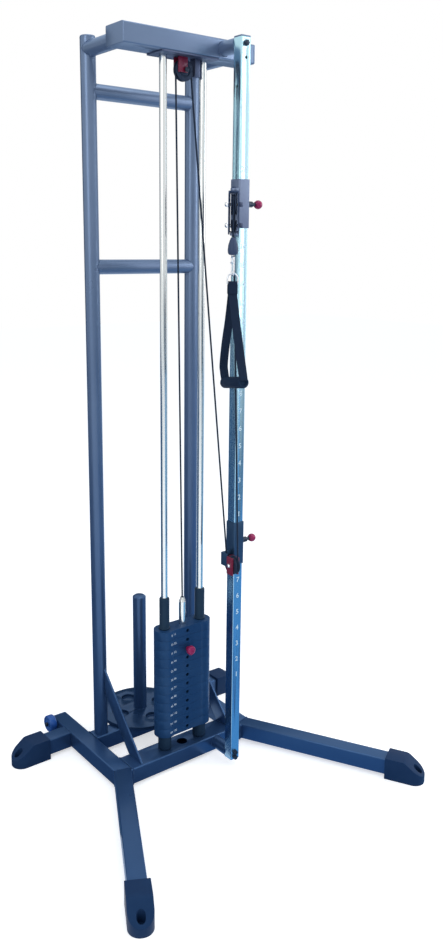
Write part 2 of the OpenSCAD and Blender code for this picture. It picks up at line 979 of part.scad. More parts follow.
module upper_collar() {
    color([0.35, 0.4, 0.5]) {
        collar(upper_z);
        lug(block_high + slide_gap);
        lug(low_lug_z);
        // web that hangs the lower lug from the collar's left face
        translate([collar_left - 6, collar_front + 4, low_lug_z])
            cube([6, 18, upper_z - collar_h / 2 + 24 - low_lug_z]);
    }
}

// Barrel of a pop pin, screwed to the collar
module pop_barrel(z) {
    color([0.08, 0.08, 0.1])
        translate([collar_right, col_y, z])
            rotate([0, 90, 0])
                rotate_extrude()
                    polygon([[plunger_d / 2 + run_fit, 0], [barrel_d / 2, 0],
                        [barrel_d / 2, 7], [barrel_d / 2 - 2, 9],
                        [barrel_d / 2 - 2, barrel_len], [plunger_d / 2 + run_fit, barrel_len]]);
}

module upper_pop_barrel() pop_barrel(upper_z);

module lower_pop_barrel() pop_barrel(lower_z);

// Plunger with a ball knob; it is drawn here, its tip just clear of the column
module pop_pin(z) {
    tip = column_right + plunger_draw;
    knob = collar_right + barrel_len + 10.5;
    translate([0, col_y, z])
        rotate([0, 90, 0]) {
            color("silver")
                translate([0, 0, tip])
                    cylinder(h = knob + 2 - tip, d = plunger_d);
            color("crimson")
                translate([0, 0, knob + ball_d / 2])
                    sphere(d = ball_d);
        }
}

module upper_pop_pin() pop_pin(upper_z);

module lower_pop_pin() pop_pin(lower_z);

// Red guard round the back of the lower sheave, welded to the collar
module lower_pulley_housing() {
    inside = sheave_w / 2 + 1;
    cheek = 4;
    low = low_z - low_run_r - 3;
    high = low_z + low_run_r + 1;
    color("firebrick")
        difference() {
            union() {
                for (side = [-1, 1])
                    translate([low_x + side * (inside + cheek / 2) - cheek / 2, low_y - 14, low])
                        cube([cheek, low_run_r / 2 + 14, high - low]);
                translate([low_x + inside, low_y - 6, low_z - 19])
                    cube([collar_left - low_x - inside - weld_gap, low_run_r + 10, 38]);
            }
            translate([low_x - 40, low_y, low_z])
                rotate([0, 90, 0])
                    cylinder(h = 80, d = axle_d + 2 * weld_gap);
        }
}

// Axle bolt of the lower sheave, its acorn nut to the left
module lower_axle() {
    inside = sheave_w / 2 + 5;
    color("silver")
        translate([low_x, low_y, low_z])
            rotate([0, -90, 0]) {
                translate([0, 0, -inside])
                    cylinder(h = 2 * inside + 1, d = axle_d);
                translate([0, 0, inside])
                    cylinder(h = 3.5, d = 13, $fn = 6);
                translate([0, 0, inside + 3.5])
                    cylinder(h = 2.5, d1 = 11, d2 = 5);
            }
}

module lower_sheave() {
    color([0.12, 0.12, 0.15])
        translate([low_x, low_y, low_z])
            rotate([0, 90, 0])
                sheave(low_run_r);
}

// ----------------------------------------------------------- swivel block

// Puts children, drawn in the XZ plane with X along the block, in the block's place
module in_block() {
    translate([swivel_x, swivel_y, 0])
        rotate([0, 0, heading])
            children();
}

// Two cheek plates joined by a top bridge with a pivot and a hollow lower pivot
module swivel_block() {
    back = -pivot_d / 2;
    front = 2 * block_run_r - 2;
    color([0.1, 0.11, 0.16])
        in_block()
            difference() {
                union() {
                    for (side = [-1, 1])
                        translate([0, side * (block_w / 2 - cheek_t / 2) + cheek_t / 2, 0])
                            rotate([90, 0, 0])
                                linear_extrude(cheek_t)
                                    polygon([[back, block_low + foot_step], [16, block_low + foot_step],
                                        [20, block_low], [front - 6, block_low],
                                        [front, block_low + foot_step],
                                        [front, block_high - 8], [front - 8, block_high],
                                        [back, block_high]]);
                    translate([back, -block_w / 2, block_high - 5])
                        cube([front - back - 8, block_w, 5]);
                    translate([back, -block_w / 2, block_low + foot_step])
                        cube([15, block_w, bridge_t]);
                    translate([0, 0, block_high - 5])
                        cylinder(h = 5 + slide_gap + lug_t + 3, d = pivot_d);
                    translate([0, 0, low_lug_z - 2])
                        cylinder(h = 2 + lug_t + slide_gap + bridge_t, d = pivot_d);
                }
                translate([0, 0, block_low - 20])
                    cylinder(h = 50, d = cable_d + 2);
                for (hole = [[block_run_r, main_z], [guide_run_r, guide_z]])
                    translate([hole[0], block_w, hole[1]])
                        rotate([90, 0, 0])
                            cylinder(h = 2 * block_w, d = axle_d + 2 * weld_gap);
            }
}

// Axle bolts of the block's sheaves, with acorn nuts on the left
module block_axles() {
    half = block_w / 2;
    color("silver")
        in_block()
            for (hole = [[block_run_r, main_z], [guide_run_r, guide_z]])
                translate([hole[0], 0, hole[1]])
                    rotate([-90, 0, 0]) {
                        translate([0, 0, -half - 1])
                            cylinder(h = 2 * half + 2, d = axle_d);
                        translate([0, 0, half])
                            cylinder(h = 9, d = 14, $fn = 6);
                        translate([0, 0, -half - 4])
                            cylinder(h = 4, d = 16, $fn = 6);
                        translate([0, 0, -half - 4])
                            rotate_extrude()
                                polygon([[0, 0], [6.5, 0], [6.2, -2.4], [4.8, -4.7],
                                    [2.4, -6], [0, -6.4]]);
                    }
}

module main_sheave() {
    color([0.12, 0.12, 0.15])
        in_block()
            translate([block_run_r, 0, main_z])
                rotate([90, 0, 0])
                    sheave(block_run_r);
}

module guide_sheave() {
    color([0.12, 0.12, 0.15])
        in_block()
            translate([guide_run_r, 0, guide_z])
                rotate([90, 0, 0])
                    sheave(guide_run_r);
}

// ------------------------------------------------------------------ cable

// Straight run of cable from one point towards another, a little short of it
module cable_run(a, b, short = 0) {
    d = b - a;
    len = norm(d) - short;
    color([0.07, 0.07, 0.08])
        translate(a)
            rotate([0, acos(d[2] / norm(d)), atan2(d[1], d[0])])
                cylinder(h = len, d = cable_d, $fn = 16);
}

// Cable bent round a sheave: an arc about the Z axis
module cable_arc(run_r, from, turn) {
    color([0.07, 0.07, 0.08])
        rotate([0, 0, from])
            rotate_extrude(angle = turn)
                translate([run_r, 0])
                    circle(d = cable_d, $fn = 16);
}

// From the stem up to the left of the top sheave
module stack_cable() {
    cable_run([0, stack_y, stem_top], [-top_run_r, stack_y, top_z], cable_gap);
}

module top_cable_wrap() {
    translate([0, stack_y, top_z])
        rotate([90, 0, 0])
            cable_arc(top_run_r, 0, 180);
}

// From the right of the top sheave down to the back of the lower sheave
module slanted_cable() {
    cable_run([low_x, low_y + low_run_r, low_z], [top_run_r, stack_y, top_z], cable_gap);
}

module low_cable_wrap() {
    translate([low_x, low_y, low_z])
        rotate([0, 90, 0])
            cable_arc(low_run_r, -90, 180);
}

// From the front of the lower sheave up through the block's hollow pivot
module riser_cable() {
    cable_run([low_x, low_y - low_run_r, low_z], [swivel_x, swivel_y, block_low - 4], cable_gap);
}

// Inside the block: up to the main sheave, over it and down again
module block_cable_wrap() {
    in_block() {
        cable_run([0, 0, block_low - 4], [0, 0, main_z]);
        translate([block_run_r, 0, main_z])
            rotate([90, 0, 0])
                cable_arc(block_run_r, 0, 180);
    }
}

module handle_cable() {
    cable_run([hand_x, hand_y, stop_top], [hand_x, hand_y, main_z]);
}

// ----------------------------------------------------------------- handle

// Pear-shaped rubber ball that stops against the block
module stop_ball() {
    r = stop_d / 2;
    color([0.13, 0.15, 0.22])
        translate([hand_x, hand_y, stop_low])
            rotate_extrude()
                polygon([[0, 0], [0.55 * r, 0], [0.85 * r, 0.06 * stop_h], [r, 0.2 * stop_h],
                    [r, 0.38 * stop_h], [0.9 * r, 0.6 * stop_h], [0.62 * r, 0.86 * stop_h],
                    [0.42 * r, stop_h], [0, stop_h]]);
}

// Puts children in the handle's place, the strap's triangle in the YZ plane
module in_handle() {
    translate([hand_x, hand_y, 0])
        rotate([0, 0, -grip_turn])
            children();
}

// Puts children in the grip's place, its axis along Z and its near end up
module in_grip() {
    in_handle()
        translate([0, -grip_shift, grip_z])
            rotate([90 - grip_tilt, 0, 0])
                children();
}

// Long closed snap hook of round wire, its side open where the gate lies
module snap_hook() {
    wire = 4.5;
    half = 6.5;
    top = stop_low - half - 2;
    low = hook_low + half;
    gate_low = low + 6;
    gate_high = top - 8;
    color("silver")
        in_handle() {
            translate([0, -half, low])
                cylinder(h = top - low, d = wire);
            translate([0, half, low])
                cylinder(h = gate_low - low - slide_gap, d = wire);
            translate([0, half, gate_high])
                cylinder(h = top - gate_high, d = wire);
            translate([0, 0, top])
                rotate([90, 0, 90])
                    rotate_extrude(angle = 180)
                        translate([half, 0])
                            circle(d = wire);
            translate([0, 0, low])
                rotate([-90, 0, 90])
                    rotate_extrude(angle = 180)
                        translate([half, 0])
                            circle(d = wire);
            translate([0, 0, top + half])
                cylinder(h = stop_low - top - half, d = 8);
        }
}

// Sprung gate in the hook's open side, hinged at its top
module hook_gate() {
    half = 6.5;
    low = hook_low + half + 6;
    pivot_r = 2.4;
    high = stop_low - half - 10 - slide_gap - pivot_r;
    color("silver")
        in_handle()
            translate([0, half, 0]) {
                translate([0, 0, low])
                    cylinder(h = high - low, d = 3.6);
                translate([-2.6, 0, high])
                    rotate([0, 90, 0])
                        cylinder(h = 5.2, r = pivot_r);
            }
}

// D-ring: a flat bar, two straight sides and a half round above, across the strap's plane
module d_ring() {
    wire = 4;
    color("silver")
        in_handle() {
            translate([0, 0, ring_z - ring_half])
                rotate([90, 0, 0])
                    rotate_extrude(angle = 180)
                        translate([ring_half, 0])
                            circle(d = wire);
            translate([-ring_half, 0, ring_bar_z])
                rotate([0, 90, 0])
                    cylinder(h = 2 * ring_half, d = wire);
            for (side = [-1, 1])
                translate([side * ring_half, 0, ring_bar_z]) {
                    sphere(d = wire);
                    cylinder(h = ring_z - ring_half - ring_bar_z, d = wire);
                }
        }
}

// Strip of webbing between two points of the YZ plane, its width along X
module webbing(a, b, w) {
    d = b - a;
    len = norm(d);
    translate([0, a[0], a[1]])
        rotate([-atan2(d[0], d[1]), 0, 0])
            translate([-w / 2, -strap_t / 2, -strap_t / 3])
                cube([w, strap_t, len + strap_t * 2 / 3]);
}

// Webbing: a stitched keeper, two legs that open out, and a core in the grip
module strap() {
    keeper = 28;
    low = ring_bar_z - keeper;
    end = grip_len / 2 - 4;
    near = [-grip_shift - end * cos(grip_tilt), grip_z + end * sin(grip_tilt) + 6];
    far = [-grip_shift + end * cos(grip_tilt), grip_z - end * sin(grip_tilt) + 6];
    bow = [far[0] + 15, far[1] + 44];
    core_d = 20;
    color([0.07, 0.09, 0.14])
        difference() {
            union() {
                in_handle() {
                    translate([-strap_w / 2, -strap_t - 1, low])
                        cube([strap_w, 2 * strap_t + 2, ring_bar_z + 4.6 - low]);
                    webbing([-strap_t / 2 - 0.6, low + 2], near, strap_w);
                    webbing([strap_t / 2 + 0.6, low + 2], bow, strap_w);
                    webbing(bow, far, strap_w - 0.6);
                }
                in_grip() {
                    cylinder(h = grip_len - 12, d = core_d, center = true);
                    for (side = [-1, 1])
                        translate([0, 0, side * (grip_len / 2 - 4)])
                            cylinder(h = 8, d = grip_d, center = true);
                }
            }
            in_handle()
                translate([-strap_w, 0, ring_bar_z])
                    rotate([0, 90, 0])
                        cylinder(h = 2 * strap_w, d = 4.4);
            in_grip()
                for (side = [-1, 1])
                    translate([0, 0, side * grip_len / 2])
                        cylinder(h = 6, d = 19, center = true);
        }
}

// Hollow hand grip that turns on the strap's core
module hand_grip() {
    core_d = 20;
    half = grip_len / 2 - 8 - slide_gap;
    color([0.09, 0.11, 0.17])
        in_grip()
            rotate_extrude()
                polygon([[core_d / 2 + run_fit, -half], [grip_d / 2, -half],
                    [grip_d / 2, half], [core_d / 2 + run_fit, half]]);
}

// --------------------------------------------------------------- assembly

left_side_rail();
right_side_rail();
rear_cross_rail();
front_rail();
front_legs();
rear_legs();
front_feet();
rear_feet();
left_upright();
right_upright();
crossbars();
top_arms();
top_beam();
end_caps();
braces();
storage_disc();
storage_post();
guide_rods();
rod_plate();
bumpers();
column();
column_stubs();
frame_bolts();
lower_plates();
top_pulley_bracket();
cable_keeper();
left_wheel();
right_wheel();
top_plate();
selector_stem();
guide_sleeves();
lifted_plates();
selector_pin();
top_sheave();
lower_collar();
lower_pulley_housing();
lower_axle();
lower_sheave();
lower_pop_barrel();
lower_pop_pin();
upper_collar();
upper_pop_barrel();
upper_pop_pin();
swivel_block();
block_axles();
main_sheave();
guide_sheave();
stack_cable();
top_cable_wrap();
slanted_cable();
low_cable_wrap();
riser_cable();
block_cable_wrap();
handle_cable();
stop_ball();
snap_hook();
hook_gate();
d_ring();
strap();
hand_grip();
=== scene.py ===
# Free-standing cable pulley machine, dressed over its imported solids.
# The file follows the machine as it is put together: base, uprights, stack,
# column, carriages, cable, handle. All sizes are in metres.
import json
import math

import bmesh
import bpy
from mathutils import Matrix, Vector

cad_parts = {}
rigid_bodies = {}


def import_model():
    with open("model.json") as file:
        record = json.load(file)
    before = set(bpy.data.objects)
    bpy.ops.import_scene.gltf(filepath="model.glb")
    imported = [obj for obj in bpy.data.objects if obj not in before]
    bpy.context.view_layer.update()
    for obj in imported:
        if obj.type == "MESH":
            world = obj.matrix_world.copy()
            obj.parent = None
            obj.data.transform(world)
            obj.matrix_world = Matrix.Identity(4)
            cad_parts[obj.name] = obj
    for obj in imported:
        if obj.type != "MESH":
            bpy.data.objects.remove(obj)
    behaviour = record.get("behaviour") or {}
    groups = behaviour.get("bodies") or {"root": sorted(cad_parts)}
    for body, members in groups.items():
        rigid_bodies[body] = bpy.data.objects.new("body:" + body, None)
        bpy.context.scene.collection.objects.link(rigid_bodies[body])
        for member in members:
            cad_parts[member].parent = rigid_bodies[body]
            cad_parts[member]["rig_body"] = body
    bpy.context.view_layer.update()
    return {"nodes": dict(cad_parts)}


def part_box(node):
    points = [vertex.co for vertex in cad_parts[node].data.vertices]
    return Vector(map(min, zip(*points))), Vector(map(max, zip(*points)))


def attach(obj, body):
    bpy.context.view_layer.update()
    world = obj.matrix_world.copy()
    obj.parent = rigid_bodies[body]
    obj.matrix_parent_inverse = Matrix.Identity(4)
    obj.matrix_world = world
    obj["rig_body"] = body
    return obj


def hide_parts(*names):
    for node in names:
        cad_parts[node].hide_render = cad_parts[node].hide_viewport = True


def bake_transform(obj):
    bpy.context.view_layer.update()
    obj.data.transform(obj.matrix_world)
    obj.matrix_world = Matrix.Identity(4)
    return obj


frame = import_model()


# --- Studio ------------------------------------------------------------------
# A pale floor, a white surround and three large soft lamps. The camera stands
# to the left of the machine's front, a little below its top, looking down.

eye = bpy.data.cameras.new("eye")
eye.sensor_fit = "VERTICAL"
eye.sensor_height = 24.0
eye.lens = 22.168
eye.shift_x = 0.02262
eye.shift_y = -0.03680
eye.clip_end = 60.0
eye_stand = bpy.data.objects.new("eye_stand", eye)
eye_right = Vector((0.795947, -0.605335, 0.006120))
eye_up = Vector((0.122998, 0.171610, 0.977457))
eye_ahead = Vector((0.592739, 0.777251, -0.211047))
stand = Matrix((eye_right, eye_up, -eye_ahead)).transposed().to_4x4()
stand.translation = Vector((-1.444945, -2.171888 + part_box("left_upright")[0].y + 0.0212, 1.548024))
eye_stand.matrix_world = stand
bpy.context.scene.collection.objects.link(eye_stand)
bpy.context.scene.camera = eye_stand
bpy.context.scene.view_settings.view_transform = "Standard"

surround = bpy.data.worlds.new("surround")
bpy.context.scene.world = surround
surround.use_nodes = True
sky = surround.node_tree
sky.nodes.clear()
sky_out = sky.nodes.new("ShaderNodeOutputWorld")
sky_mix = sky.nodes.new("ShaderNodeMixShader")
sky_light = sky.nodes.new("ShaderNodeBackground")
sky_light.inputs["Color"].default_value = (0.86, 0.93, 1.0, 1)
sky_light.inputs["Strength"].default_value = 0.62
sky_seen = sky.nodes.new("ShaderNodeBackground")
sky_seen.inputs["Color"].default_value = (1, 1, 1, 1)
sky_seen.inputs["Strength"].default_value = 1.0
sky_path = sky.nodes.new("ShaderNodeLightPath")
sky_any = sky.nodes.new("ShaderNodeMath")
sky_any.operation = "MAXIMUM"
sky.links.new(sky_path.outputs["Is Camera Ray"], sky_any.inputs[0])
sky.links.new(sky_path.outputs["Is Transmission Ray"], sky_any.inputs[1])
sky_gloss = sky.nodes.new("ShaderNodeMath")
sky_gloss.operation = "MAXIMUM"
sky.links.new(sky_any.outputs[0], sky_gloss.inputs[0])
sky.links.new(sky_path.outputs["Is Glossy Ray"], sky_gloss.inputs[1])
sky.links.new(sky_gloss.outputs[0], sky_mix.inputs[0])
sky.links.new(sky_light.outputs[0], sky_mix.inputs[1])
sky.links.new(sky_seen.outputs[0], sky_mix.inputs[2])
sky.links.new(sky_mix.outputs[0], sky_out.inputs["Surface"])


def soft_lamp(name, place, aim, size, power):
    lamp = bpy.data.lights.new(name, "AREA")
    lamp.shape = "RECTANGLE"
    lamp.size, lamp.size_y = size
    lamp.energy = power
    hung = bpy.data.objects.new(name, lamp)
    hung.location = place
    hung.rotation_euler = (Vector(aim) - Vector(place)).to_track_quat("-Z", "Y").to_euler()
    bpy.context.scene.collection.objects.link(hung)
    return hung


soft_lamp("lamp_right", (3.0, -2.6, 2.4), (0, 0, 1.0), (1.6, 2.6), 60)
soft_lamp("lamp_left", (-3.2, -1.2, 2.6), (0, 0, 1.0), (1.4, 2.4), 26)
soft_lamp("lamp_above", (0.2, -0.4, 4.2), (0, 0, 0.8), (2.4, 2.4), 34)

floor_mesh = bpy.data.meshes.new("floor")
floor_mesh.from_pydata([(-14, -14, 0), (14, -14, 0), (14, 14, 0), (-14, 14, 0)], [], [(0, 1, 2, 3)])
floor = bpy.data.objects.new("floor", floor_mesh)
bpy.context.scene.collection.objects.link(floor)
pale = bpy.data.materials.new("pale_floor")
pale.use_nodes = True
pale_tree = pale.node_tree
pale_tree.nodes.clear()
pale_out = pale_tree.nodes.new("ShaderNodeOutputMaterial")
pale_body = pale_tree.nodes.new("ShaderNodeBsdfDiffuse")
pale_body.inputs["Color"].default_value = (0.80, 0.81, 0.83, 1)
pale_glow = pale_tree.nodes.new("ShaderNodeEmission")
pale_glow.inputs["Color"].default_value = (1, 1, 1, 1)
pale_path = pale_tree.nodes.new("ShaderNodeLightPath")
pale_seen = pale_tree.nodes.new("ShaderNodeMath")
pale_seen.operation = "MAXIMUM"
pale_strength = pale_tree.nodes.new("ShaderNodeMath")
pale_strength.operation = "MULTIPLY"
pale_strength.inputs[1].default_value = 0.56
pale_add = pale_tree.nodes.new("ShaderNodeAddShader")
pale_tree.links.new(pale_path.outputs["Is Camera Ray"], pale_seen.inputs[0])
pale_tree.links.new(pale_path.outputs["Is Glossy Ray"], pale_seen.inputs[1])
pale_tree.links.new(pale_seen.outputs[0], pale_strength.inputs[0])
pale_tree.links.new(pale_strength.outputs[0], pale_glow.inputs["Strength"])
pale_tree.links.new(pale_body.outputs[0], pale_add.inputs[0])
pale_tree.links.new(pale_glow.outputs[0], pale_add.inputs[1])
pale_tree.links.new(pale_add.outputs[0], pale_out.inputs["Surface"])
floor_mesh.materials.append(pale)


def flag_card(name, corners, colour):
    """A studio flag: only the reflections in glossy surfaces see it."""
    mesh = bpy.data.meshes.new(name)
    mesh.from_pydata(corners, [], [(0, 1, 2, 3)])
    card = bpy.data.objects.new(name, mesh)
    bpy.context.scene.collection.objects.link(card)
    for kind in ("camera", "diffuse", "transmission", "volume_scatter", "shadow"):
        setattr(card, "visible_" + kind, False)
    cloth = bpy.data.materials.new(name + "_cloth")
    cloth.use_nodes = True
    tree = cloth.node_tree
    tree.nodes.clear()
    glow = tree.nodes.new("ShaderNodeEmission")
    glow.inputs["Color"].default_value = (*colour, 1)
    out = tree.nodes.new("ShaderNodeOutputMaterial")
    tree.links.new(glow.outputs[0], out.inputs["Surface"])
    mesh.materials.append(cloth)


flag_card("flag_floor_right", [(0.08, -9, 0.001), (9, -9, 0.001), (9, 0.1, 0.001), (0.08, 0.1, 0.001)],
          (0.18, 0.46, 0.80))
flag_card("flag_floor_left", [(-9, -0.4, 0.001), (0.07, -0.1, 0.001), (0.07, 9, 0.001), (-9, 9, 0.001)],
          (0.06, 0.13, 0.25))
flag_card("flag_back", [(-5, 8, 0), (9, 8, 0), (9, 8, 5), (-5, 8, 5)], (0.05, 0.08, 0.12))
flag_card("flag_front", [(-6, -8.5, 0), (9, -8.5, 0), (9, -8.5, 1.0), (-6, -8.5, 1.0)], (0.10, 0.15, 0.21))
for level, low, high, colour in (("low", 0.30, 0.72, (0.20, 0.25, 0.32)),
                                 ("middle", 0.72, 1.10, (0.52, 0.49, 0.48)),
                                 ("high", 1.10, 2.50, (1.05, 0.98, 1.02))):
    flag_card("flag_column_" + level, [(0.69, -1.13, low), (1.07, -0.80, low), (1.07, -0.80, high),
                                       (0.69, -1.13, high)], colour)


# --- Base frame --------------------------------------------------------------
# Square and rectangular steel tube, welded and powder coated in a metallic
# blue-grey. The weld beads show as a low ripple round every joint.


def surface_group():
    """Patches of a second colour, a fine grain, an uneven roughness, and a colour change with height that
    serves as painted shade and painted reflection.
    """
    tree = bpy.data.node_groups.new("surface_grain_and_shade", "ShaderNodeTree")
    face = tree.interface
    face.new_socket("Colour", in_out="INPUT", socket_type="NodeSocketColor")
    face.new_socket("Painted Shade Colour", in_out="INPUT", socket_type="NodeSocketColor")
    face.new_socket("Low Height", in_out="INPUT", socket_type="NodeSocketFloat")
    face.new_socket("High Height", in_out="INPUT", socket_type="NodeSocketFloat")
    face.new_socket("Patch Factor", in_out="INPUT", socket_type="NodeSocketColor")
    face.new_socket("Patch Scale", in_out="INPUT", socket_type="NodeSocketFloat")
    face.new_socket("Patch Share", in_out="INPUT", socket_type="NodeSocketFloat")
    face.new_socket("Stretch", in_out="INPUT", socket_type="NodeSocketVector")
    face.new_socket("Grain Scale", in_out="INPUT", socket_type="NodeSocketFloat")
    face.new_socket("Smooth", in_out="INPUT", socket_type="NodeSocketFloat")
    face.new_socket("Rough", in_out="INPUT", socket_type="NodeSocketFloat")
    face.new_socket("Colour", in_out="OUTPUT", socket_type="NodeSocketColor")
    face.new_socket("Roughness", in_out="OUTPUT", socket_type="NodeSocketFloat")
    face.new_socket("Height", in_out="OUTPUT", socket_type="NodeSocketFloat")
    n, link = tree.nodes, tree.links.new
    inp, out = n.new("NodeGroupInput"), n.new("NodeGroupOutput")
    where = n.new("ShaderNodeTexCoord")
    turn = n.new("ShaderNodeMapping")
    link(where.outputs["Object"], turn.inputs["Vector"])
    link(inp.outputs["Stretch"], turn.inputs["Scale"])
    patch = n.new("ShaderNodeTexNoise")
    patch.inputs["Detail"].default_value = 5
    link(turn.outputs[0], patch.inputs["Vector"])
    link(inp.outputs["Patch Scale"], patch.inputs["Scale"])
    ramp = n.new("ShaderNodeMapRange")
    ramp.inputs["From Min"].default_value = 0.42
    ramp.inputs["From Max"].default_value = 0.68
    link(patch.outputs["Fac"], ramp.inputs["Value"])
    share = n.new("ShaderNodeMath")
    share.operation = "MULTIPLY"
    link(ramp.outputs[0], share.inputs[0])
    link(inp.outputs["Patch Share"], share.inputs[1])
    height = n.new("ShaderNodeSeparateXYZ")
    link(where.outputs["Object"], height.inputs[0])
    climb = n.new("ShaderNodeMapRange")
    climb.interpolation_type = "SMOOTHSTEP"
    link(height.outputs[2], climb.inputs["Value"])
    link(inp.outputs["Low Height"], climb.inputs["From Min"])
    link(inp.outputs["High Height"], climb.inputs["From Max"])
    painted_light_fade = n.new("ShaderNodeMix")
    painted_light_fade.data_type = "RGBA"
    link(climb.outputs[0], painted_light_fade.inputs[0])
    link(inp.outputs["Painted Shade Colour"], painted_light_fade.inputs[6])
    link(inp.outputs["Colour"], painted_light_fade.inputs[7])
    mix = n.new("ShaderNodeMix")
    mix.data_type = "RGBA"
    mix.blend_type = "MULTIPLY"
    link(share.outputs[0], mix.inputs[0])
    link(painted_light_fade.outputs[2], mix.inputs[6])
    link(inp.outputs["Patch Factor"], mix.inputs[7])
    link(mix.outputs[2], out.inputs["Colour"])
    grain = n.new("ShaderNodeTexNoise")
    grain.inputs["Detail"].default_value = 3
    link(turn.outputs[0], grain.inputs["Vector"])
    link(inp.outputs["Grain Scale"], grain.inputs["Scale"])
    link(grain.outputs["Fac"], out.inputs["Height"])
    level = n.new("ShaderNodeMapRange")
    link(patch.outputs["Fac"], level.inputs["Value"])
    level.inputs["From Min"].default_value = 0.3
    level.inputs["From Max"].default_value = 0.7
    link(inp.outputs["Smooth"], level.inputs["To Min"])
    link(inp.outputs["Rough"], level.inputs["To Max"])
    link(level.outputs[0], out.inputs["Roughness"])
    return tree


grain_and_shade_group = surface_group()


def finish(name, colour, patch=None, patch_scale=6, share=0.3, stretch=(1, 1, 1), grain=900,
           rough=(0.3, 0.4), metal=0.0, coat=0.0, depth=0.00002, low=None, painted_light_fade=(0.0, 2.1),
           gloss=0.5, tint=(1, 1, 1)):
    """A finish made from the grain-and-shade group and one Principled shader; low is a painted-shade colour
    that it fades to near the floor, over the heights in painted_light_fade.
    """
    made = bpy.data.materials.new(name)
    made.use_nodes = True
    n, link = made.node_tree.nodes, made.node_tree.links.new
    skin = n["Principled BSDF"]
    group = n.new("ShaderNodeGroup")
    group.node_tree = grain_and_shade_group
    group.inputs["Colour"].default_value = (*colour, 1)
    group.inputs["Painted Shade Colour"].default_value = (*(low or colour), 1)
    group.inputs["Low Height"].default_value, group.inputs["High Height"].default_value = painted_light_fade
    group.inputs["Patch Factor"].default_value = (*(b / a for a, b in zip(colour, patch or colour)), 1)
    group.inputs["Patch Scale"].default_value = patch_scale
    group.inputs["Patch Share"].default_value = share
    group.inputs["Stretch"].default_value = stretch
    group.inputs["Grain Scale"].default_value = grain
    group.inputs["Smooth"].default_value = rough[0]
    group.inputs["Rough"].default_value = rough[1]
    bump = n.new("ShaderNodeBump")
    bump.inputs["Distance"].default_value = depth
    bump.inputs["Strength"].default_value = 1.0
    link(group.outputs["Colour"], skin.inputs["Base Color"])
    link(group.outputs["Roughness"], skin.inputs["Roughness"])
    link(group.outputs["Height"], bump.inputs["Height"])
    link(bump.outputs[0], skin.inputs["Normal"])
    skin.inputs["Metallic"].default_value = metal
    skin.inputs["Coat Weight"].default_value = coat
    skin.inputs["Coat Roughness"].default_value = 0.12
    skin.inputs["Specular IOR Level"].default_value = gloss
    skin.inputs["Specular Tint"].default_value = (*tint, 1)
    return made


# Painted shade: the coat fades to a darker, bluer colour towards the floor.
frame_paint = finish("frame_paint", (0.140, 0.195, 0.305), patch=(0.175, 0.235, 0.35), patch_scale=5,
                     share=0.5, grain=1400, rough=(0.26, 0.38), metal=0.5, coat=0.08, depth=0.00003,
                     low=(0.032, 0.080, 0.190), painted_light_fade=(0.0, 1.9), gloss=0.35, tint=(0.45, 0.7, 1.0))


def plain_mesh(thing):
    """The evaluated mesh of a thing, with its place applied, as a new mesh."""
    bpy.context.view_layer.update()
    seen = thing.evaluated_get(bpy.context.evaluated_depsgraph_get())
    mesh = bpy.data.meshes.new_from_object(seen)
    mesh.transform(thing.matrix_world)
    return mesh


def piece(name, mesh, material, body, smooth=30.0):
    """A finished piece at the origin that rides on a body."""
    if material is not None:
        mesh.materials.clear()
        mesh.materials.append(material)
    mesh.polygons.foreach_set("use_smooth", [True] * len(mesh.polygons))
    mesh.set_sharp_from_angle(angle=math.radians(smooth))
    made = bpy.data.objects.new(name, mesh)
    bpy.context.scene.collection.objects.link(made)
    if body:
        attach(made, body)
    return made


def eased(node, material, width=0.0006, steps=2):
    """The node's own shape with its edges eased, shown in the node's place."""
    mesh = frame["nodes"][node].data.copy()
    shape = bmesh.new()
    shape.from_mesh(mesh)
    bmesh.ops.remove_doubles(shape, verts=shape.verts, dist=2e-6)
    bmesh.ops.dissolve_limit(shape, angle_limit=math.radians(0.6), verts=shape.verts, edges=shape.edges)
    shape.to_mesh(mesh)
    shape.free()
    blank = bpy.data.objects.new(node + "_blank", mesh)
    bpy.context.scene.collection.objects.link(blank)
    edge = blank.modifiers.new("edge", "BEVEL")
    edge.width = width
    edge.segments = steps
    edge.limit_method = "ANGLE"
    edge.angle_limit = math.radians(32)
    edge.use_clamp_overlap = True
    done = plain_mesh(blank)
    bpy.data.objects.remove(blank)
    made = piece(node + "_finish", done, material, frame["nodes"][node]["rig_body"], 40)
    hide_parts(node)
    return made


def dress(node, material):
    """The node stays as it is and gets a better material."""
    thing = frame["nodes"][node]
    if not thing.material_slots:
        thing.data.materials.append(material)
    for held in thing.material_slots:
        held.material = material


for rail in ("left_side_rail", "right_side_rail", "rear_cross_rail", "front_rail", "front_legs", "rear_legs"):
    eased(rail, frame_paint, 0.0008)


